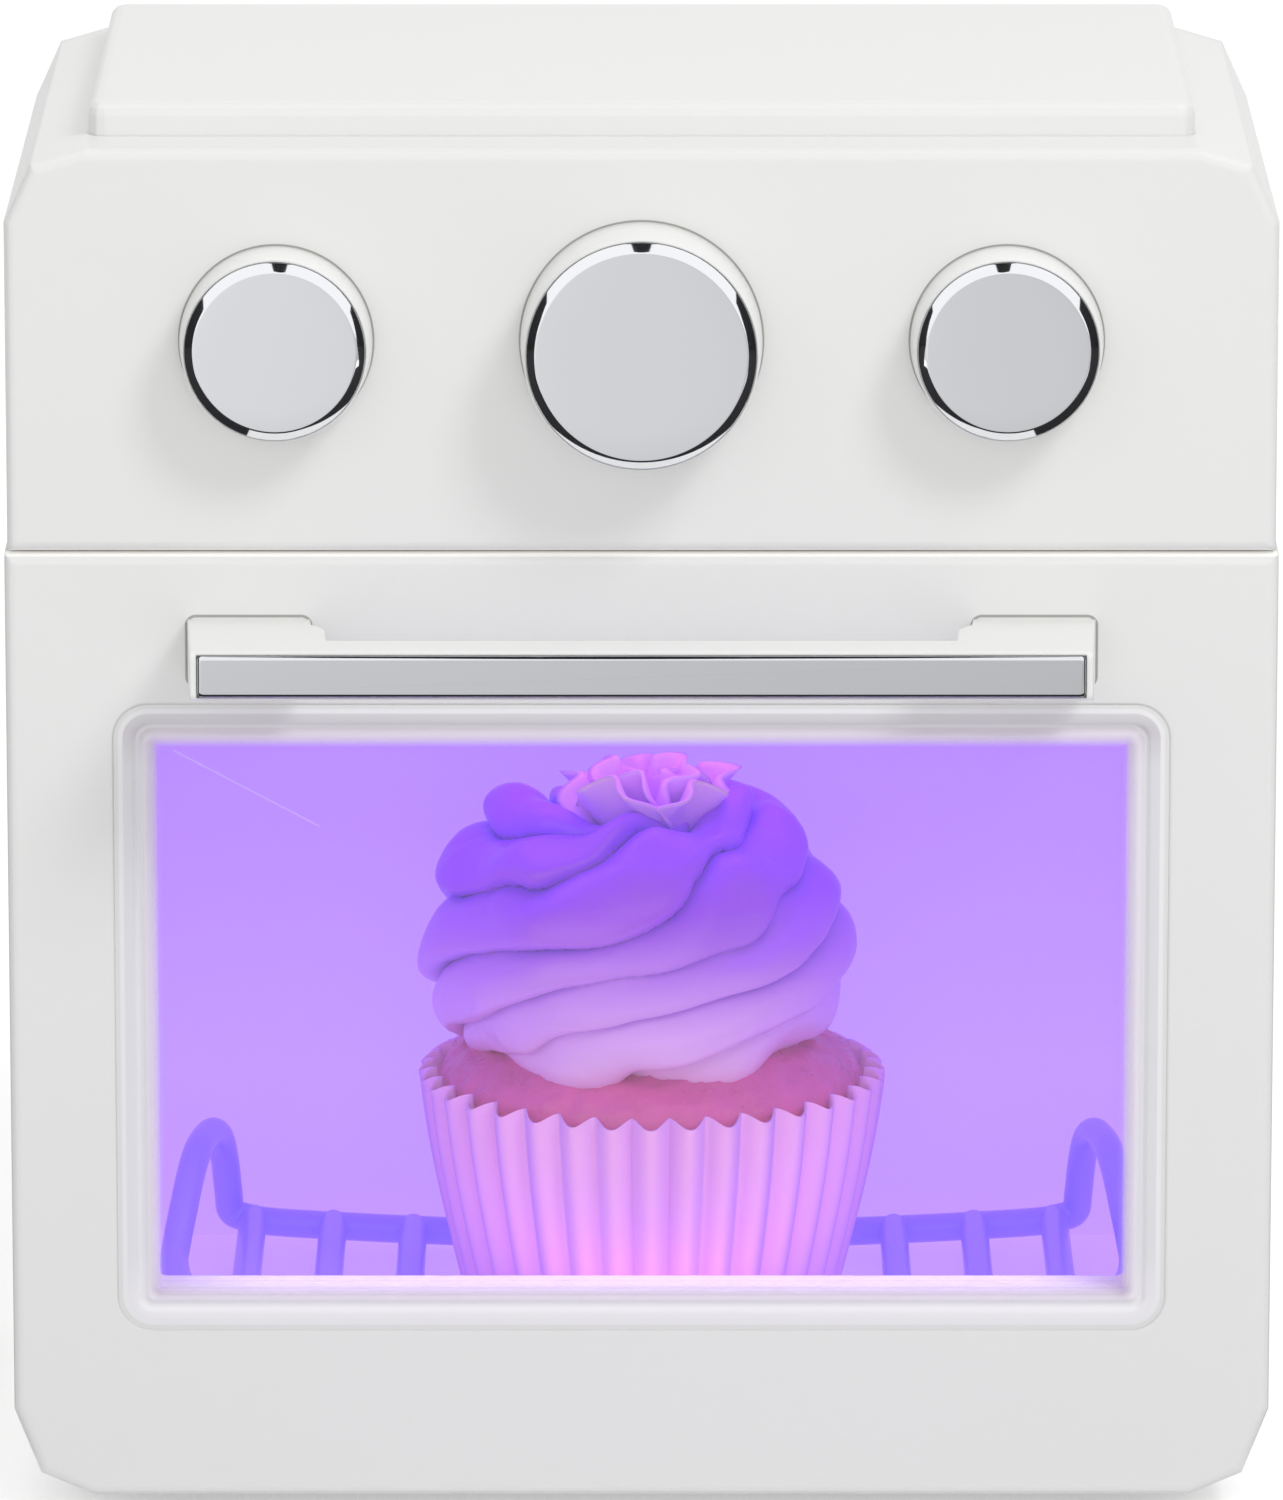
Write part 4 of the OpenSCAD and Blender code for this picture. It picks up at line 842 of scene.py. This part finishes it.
def case_point(t, a, thick):
    """A point of the pleated wall: rounded ridges with narrow grooves, pinched at the rim."""
    wobble = 0.12 * math.sin(3 * a + 1.0) + 0.08 * math.sin(7 * a)
    depth = (0.55 + 0.28 * t) * (1 + 0.12 * math.sin(5 * a + 2))
    ridge = (1 + math.cos(FLUTES * a + 0.25 * math.sin(4 * a))) / 2
    wave = depth * (2 * math.sqrt(ridge) - 1.15)
    r = min(case_r(t) + wave + wobble * t, RIM_R + 0.72) - thick
    pinch = max(t - 0.93, 0) / 0.07
    return CUP_X + r * math.cos(a), CUP_Y + r * math.sin(a), CASE_Z + t * CASE_H - 0.85 * ridge * pinch


def make_case():
    """The case's wall outside and inside, and its floor."""
    rows = 24
    angles = turn(FLUTES * 14)
    outer = [[case_point(i / rows, a, 0.0) for a in angles] for i in range(rows + 1)]
    inner = [[case_point(i / rows, a, PAPER) for a in angles] for i in range(rows, -1, -1)]
    inner[-1] = [(x, y, z + 0.35) for x, y, z in inner[-1]]
    piece("cupcake_case_flutes", ring_solid(outer + inner), "fluted_paper", "cabinet", "cupcake_case", 70)


def make_cake():
    """A cake that fills the case and domes up over its rim, with a bumpy crust."""
    wall = [(CASE_Z + 0.7, case_r(0.03) - CAKE_GAP)]
    wall += [(CASE_Z + t * CASE_H, case_r(t) - CAKE_GAP) for t in (0.25, 0.47, 0.7, 0.88)]
    dome_r = case_r(0.92) - CAKE_GAP
    dome = [(DOME_LOW + DOME_H * math.sin(math.radians(a)), dome_r * math.cos(math.radians(a)) ** 0.8)
            for a in range(0, 90, 4)]
    rings = []
    for k, (z, r) in enumerate(wall + dome):
        ring = []
        for a in turn(180):
            spot = Vector((r * math.cos(a), r * math.sin(a), z)) * 0.55
            bump = 0.0
            if k >= len(wall):
                bump = 0.28 * noise.fractal(spot, 1.0, 2.0, 4) + 0.12 * noise.noise(spot * 3.7)
            lift = bump if k > len(wall) + 1 else 0
            ring.append((CUP_X + (r + bump) * math.cos(a), CUP_Y + (r + bump) * math.sin(a), z + lift))
        rings.append(ring)
    piece("cake_dome", ring_solid(rings), "play_cake", "cabinet", "cake", 180)


make_case()
make_cake()


# Frosting

SWIRL_X = CUP_X - 1.1
SWIRL_FOLDS = 6
FOLD_RISE = 6.2
FOLD_DEEP = 2.5
# Radius and height along the dome under the folds
SWIRL_LINE = [(14.0, 38.3), (16.2, 39.0), (17.6, 40.7), (18.6, 43.0), (19.2, 46.0), (18.9, 49.4),
              (17.9, 52.6), (16.6, 55.6), (14.6, 58.2), (11.8, 60.2), (8.6, 61.0), (5.0, 60.6),
              (1.4, 59.8)]


def swirl_line(count):
    """Evenly spaced spots on the dome's outline: the place, the distance along it, outward and onward."""
    points = [Vector(p) for p in SWIRL_LINE]
    fine = curve_through([points[0]] + points + [points[-1]], 20)
    far = [0.0]
    for a, b in zip(fine, fine[1:]):
        far.append(far[-1] + (b - a).length)
    spots = []
    k = 0
    for i in range(count + 1):
        distance = far[-1] * i / count
        while k < len(far) - 2 and far[k + 1] < distance:
            k += 1
        t = (distance - far[k]) / (far[k + 1] - far[k])
        onward = (fine[k + 1] - fine[k]).normalized()
        spots.append((fine[k].lerp(fine[k + 1], t), distance, Vector((onward.y, -onward.x)), onward))
    return spots


def make_swirl():
    """Folds of piped frosting that rise to the right round a dome, each hanging over the one below."""
    rings = []
    for spot, far, outward, onward in swirl_line(170):
        ring = []
        for a in turn(360):
            here = Vector((math.cos(a), math.sin(a), far * 0.07))
            wander = 0.7 * noise.noise(here * 1.2 + Vector((4, 1, 7))) + 0.16 * noise.noise(here * 2.9)
            phase = far / FOLD_RISE - SWIRL_FOLDS * a / (2 * math.pi) + 0.15
            phase += wander * min(1, (far + 3) / 8)
            f = phase - math.floor(phase)
            rise = math.sin(math.pi * f ** 0.55) ** 0.7
            full = FOLD_DEEP * (0.95 + noise.noise(here * 1.7 + Vector((9, 3, 2))))
            full *= min(1.0, 0.35 + spot.x / 14)
            hang = -0.75 * math.exp(-((f - 0.16) / 0.2) ** 2) * full / FOLD_DEEP
            swell = 0.5 * noise.noise(here * 1.1 + Vector((2, 8, 5)))
            lift = full * rise - 0.9 + swell + 0.05 * noise.noise(here * 14)
            r = max(spot.x + outward.x * lift + onward.x * hang, 0.2)
            z = spot.y + outward.y * lift + onward.y * hang
            ring.append((SWIRL_X + r * math.cos(a), CUP_Y + r * math.sin(a), z))
        rings.append(ring)
    piece("frosting_swirl", ring_solid(rings), "play_frosting", "cabinet", "frosting", 180)


def petal(foot, yaw, width, height, lean, ruffle, seed):
    """One ruffled petal: a bent fan, thick at its foot and rounded at its top."""
    cols, rows = 27, 13
    phase = random.Random(seed).random() * 6.28
    front, back = [], []
    for i in range(rows):
        t = i / (rows - 1)
        spread = width * (0.45 + 0.55 * math.sin(math.pi / 2 * min(t * 1.3, 1)))
        half = 0.62 * (1 - 0.4 * t)
        for j in range(cols):
            s = j / (cols - 1) * 2 - 1
            x = spread * s
            y = -lean * t * t * height + 0.35 * width * s * s
            y += ruffle * t * t * math.sin(4.2 * s * math.pi / 2 + phase)
            z = height * t * math.sqrt(1 - 0.86 * s * s) + 0.25 * ruffle * t * math.sin(6 * s + phase)
            for skin, shift in ((front, -half), (back, half)):
                skin.append((foot[0] + x * math.cos(yaw) - (y + shift) * math.sin(yaw),
                             foot[1] + x * math.sin(yaw) + (y + shift) * math.cos(yaw), foot[2] + z))
    n = len(front)
    faces = grid_faces(rows, cols, closed=False)
    faces += grid_faces(rows, cols, closed=False, start=n, flip=True)
    for i in range(rows - 1):
        a, b = i * cols, (i + 1) * cols
        faces.append([a, b, b + n, a + n])
        faces.append([b - 1 + n, b - 1 + cols + n, b - 1 + cols, b - 1])
    for j in range(cols - 1):
        a = (rows - 1) * cols + j
        faces.append([a, a + 1, a + 1 + n, a + n])
        faces.append([j + n, j + 1 + n, j + 1, j])
    return front + back, faces


def petal_ring(count, start, away, lift, width, height, lean, ruffle, seed, uneven=0.0):
    """Petals evenly spaced round the rose's middle; uneven varies their height and place."""
    x, y, z = SWIRL_X + 1.0, CUP_Y - 1.0, 59.0 + lift
    petals = []
    for i in range(count):
        a = math.radians(start + 360 / count * i)
        foot = (x + away * math.cos(a), y + away * math.sin(a), z + 0.4 * uneven * math.sin(5 * i))
        tall = height + 0.8 * uneven * math.sin(3 * i)
        petals.append(petal(foot, a + math.pi / 2, width, tall, lean, ruffle, seed + i))
    return petals


make_swirl()
rose = petal_ring(5, 22, 5.0, 0.0, 5.2, 6.6, 0.45, 1.25, 0, uneven=1.0)
rose += petal_ring(4, 60, 2.9, 1.2, 3.6, 6.2, 0.3, 1.1, 20)
rose += petal_ring(2, 20, 1.2, 1.6, 2.0, 5.0, 0.2, 0.8, 40)
piece("frosting_petals", join(rose), "play_petals", "cabinet", "frosting_rosette", 180)


# Floor and studio cards, in metres

FLOOR_HALF = 3.0
SIDE_CARD_X = 0.7
CARD_TOP = 0.9


def stage_sheet(name, corners, material):
    """One flat face of the stage."""
    me = bpy.data.meshes.new(name)
    me.from_pydata(corners, [], [(0, 1, 2, 3)])
    me.materials.append(material)
    ob = bpy.data.objects.new(name, me)
    bpy.context.scene.collection.objects.link(ob)
    return ob


def card(name, corners, material):
    """A studio card that only reflections see: the cards draw the tones in the chrome."""
    ob = stage_sheet(name, corners, material)
    ob.visible_camera = False
    ob.visible_diffuse = False
    ob.visible_shadow = False
    ob.visible_transmission = False


def level(x, near, far, z):
    """The corners of a level rectangle from -x to x."""
    return [(-x, near, z), (x, near, z), (x, far, z), (-x, far, z)]


def floor_white():
    """A pale floor that keeps the shadow, and comes up to white wherever it is seen."""
    f = Finish("floor_white", (0.80, 0.80, 0.80), 0.7, tone=0.0, bump=0.0)
    f.set(Emission_Color=(1, 1, 1), Emission_Strength=f.times(f.seen(), 0.42))
    return f.material


def grey_card():
    """Light grey that darkens towards the oven and to the right."""
    g = Finish("grey_card", (0.0, 0.0, 0.0), 1.0, tone=0.0, bump=0.0)
    near = g.ramp(g.ranged(g.coordinate("Y"), -0.56, -0.38), [(0.0, 0.817), (0.25, 0.817), (1.0, 0.717)])
    right = g.ramp(g.ranged(g.coordinate("X"), -0.13, 0.13), [(0.0, 0.0), (1.0, 0.234)])
    g.set(Emission_Color=(1, 1, 1), Emission_Strength=g.math("SUBTRACT", near, right),
          Specular_IOR_Level=0.0)
    return g.material


BLACK_CARD = plain("black_card", (0.012, 0.012, 0.013), 0.9, tone=0.0, bump=0.0)

stage_sheet("floor", level(FLOOR_HALF, -FLOOR_HALF, FLOOR_HALF, -0.00002), floor_white())
card("card_face", level(1.6, -1.6, -0.26, 0.0010), grey_card())
card("card_near", level(0.13, -0.26, -0.03, 0.0008), BLACK_CARD)
for side, name in ((-1, "left"), (1, "right")):
    corner = [(0.064, -0.02), (0.12, -0.26), (0.30, -0.17), (0.30, 0.0)]
    card(f"card_corner_{name}", [(side * x, y, 0.0014) for x, y in corner], BLACK_CARD)
    beside = [(0.064, -0.05), (SIDE_CARD_X, -0.58), (SIDE_CARD_X, 0.4), (0.064, 0.4)]
    card(f"card_floor_{name}", [(side * x, y, 0.0012) for x, y in beside], BLACK_CARD)
    standing = [(-0.58, 0.0), (0.5, 0.0), (0.5, 1.1), (-0.58, 0.34)]
    card(f"card_side_{name}", [(side * SIDE_CARD_X, y, z) for y, z in standing], BLACK_CARD)
wedge = [(-0.01, -2.0), (0.01, -2.0), (0.14, 0.4), (-0.14, 0.4)]
card("card_over", [(x, y, CARD_TOP) for x, y in wedge], BLACK_CARD)


# Lamps and world

def area(name, place, target, size, power, color=(1, 1, 1), depth=None, shines=False, spread=180):
    """A rectangular lamp that points at a target; shines also lets it be seen in mirrors."""
    lamp = bpy.data.lights.new(name, "AREA")
    lamp.shape = "RECTANGLE"
    lamp.size = size
    lamp.size_y = depth or size
    lamp.energy = power
    lamp.color = color
    lamp.spread = math.radians(spread)
    ob = bpy.data.objects.new(name, lamp)
    ob.location = place
    ob.rotation_euler = (Vector(target) - Vector(place)).to_track_quat("-Z", "Y").to_euler()
    ob.visible_camera = False
    ob.visible_glossy = shines
    bpy.context.scene.collection.objects.link(ob)


area("key", (0.52, -0.62, 0.92), (0, 0, 0.09), 0.34, 3.95)
area("fill", (-0.75, -0.7, 0.55), (0, 0, 0.07), 0.8, 0.7)
area("top", (0, 0.0, 1.0), (0, 0, 0.1), 0.8, 1.0)
area("front", (0.0, -1.3, 0.2), (0, 0, 0.08), 0.8, 1.9)
area("cavity_lamp", at(0, 34, 79.4), at(0, 34, 10), 0.044, 0.0052, (0.42, 0.13, 1.0), 0.019, shines=True)
area("cavity_low", at(0, 12, 19), at(0, 34, 34), 0.06, 0.0012, (0.85, 0.55, 0.95), 0.008)
area("sill_glow", at(0, 5, 38), at(0, 5, 20), 0.085, 0.0019, (0.93, 0.78, 1.0), 0.006, spread=60)


def make_world():
    """Even pale light on the part, and white where the world itself is seen."""
    world = bpy.data.worlds.new("studio")
    world.use_nodes = True
    w = Nodes(world.node_tree)
    w.tree.nodes.clear()
    both = w.node("MixShader")
    w.feed(both.inputs[0], w.seen())
    for i, (color, strength) in enumerate((((1.0, 1.0, 0.995), 0.62), ((1, 1, 1), 1.0))):
        light = w.node("Background")
        w.feed(light.inputs["Color"], color)
        w.feed(light.inputs["Strength"], strength)
        w.feed(both.inputs[i + 1], light.outputs[0])
    w.feed(w.node("OutputWorld").inputs[0], both.outputs[0])
    bpy.context.scene.world = world


make_world()


# Camera

LOOKS_DOWN = 13.36
CAMERA_Y = -1143.12
CAMERA_Z = 346.961

cam = bpy.data.objects.new("camera", bpy.data.cameras.new("camera"))
bpy.context.scene.collection.objects.link(cam)
cam.data.sensor_width = 36
cam.data.sensor_fit = "AUTO"
cam.data.lens = 297.12
cam.data.clip_start = 0.05
cam.data.clip_end = 20
cam.location = at(0, CAMERA_Y, CAMERA_Z)
cam.rotation_euler = (math.radians(90 - LOOKS_DOWN), 0, 0)
bpy.context.scene.camera = cam
bpy.context.scene.view_settings.view_transform = "Standard"
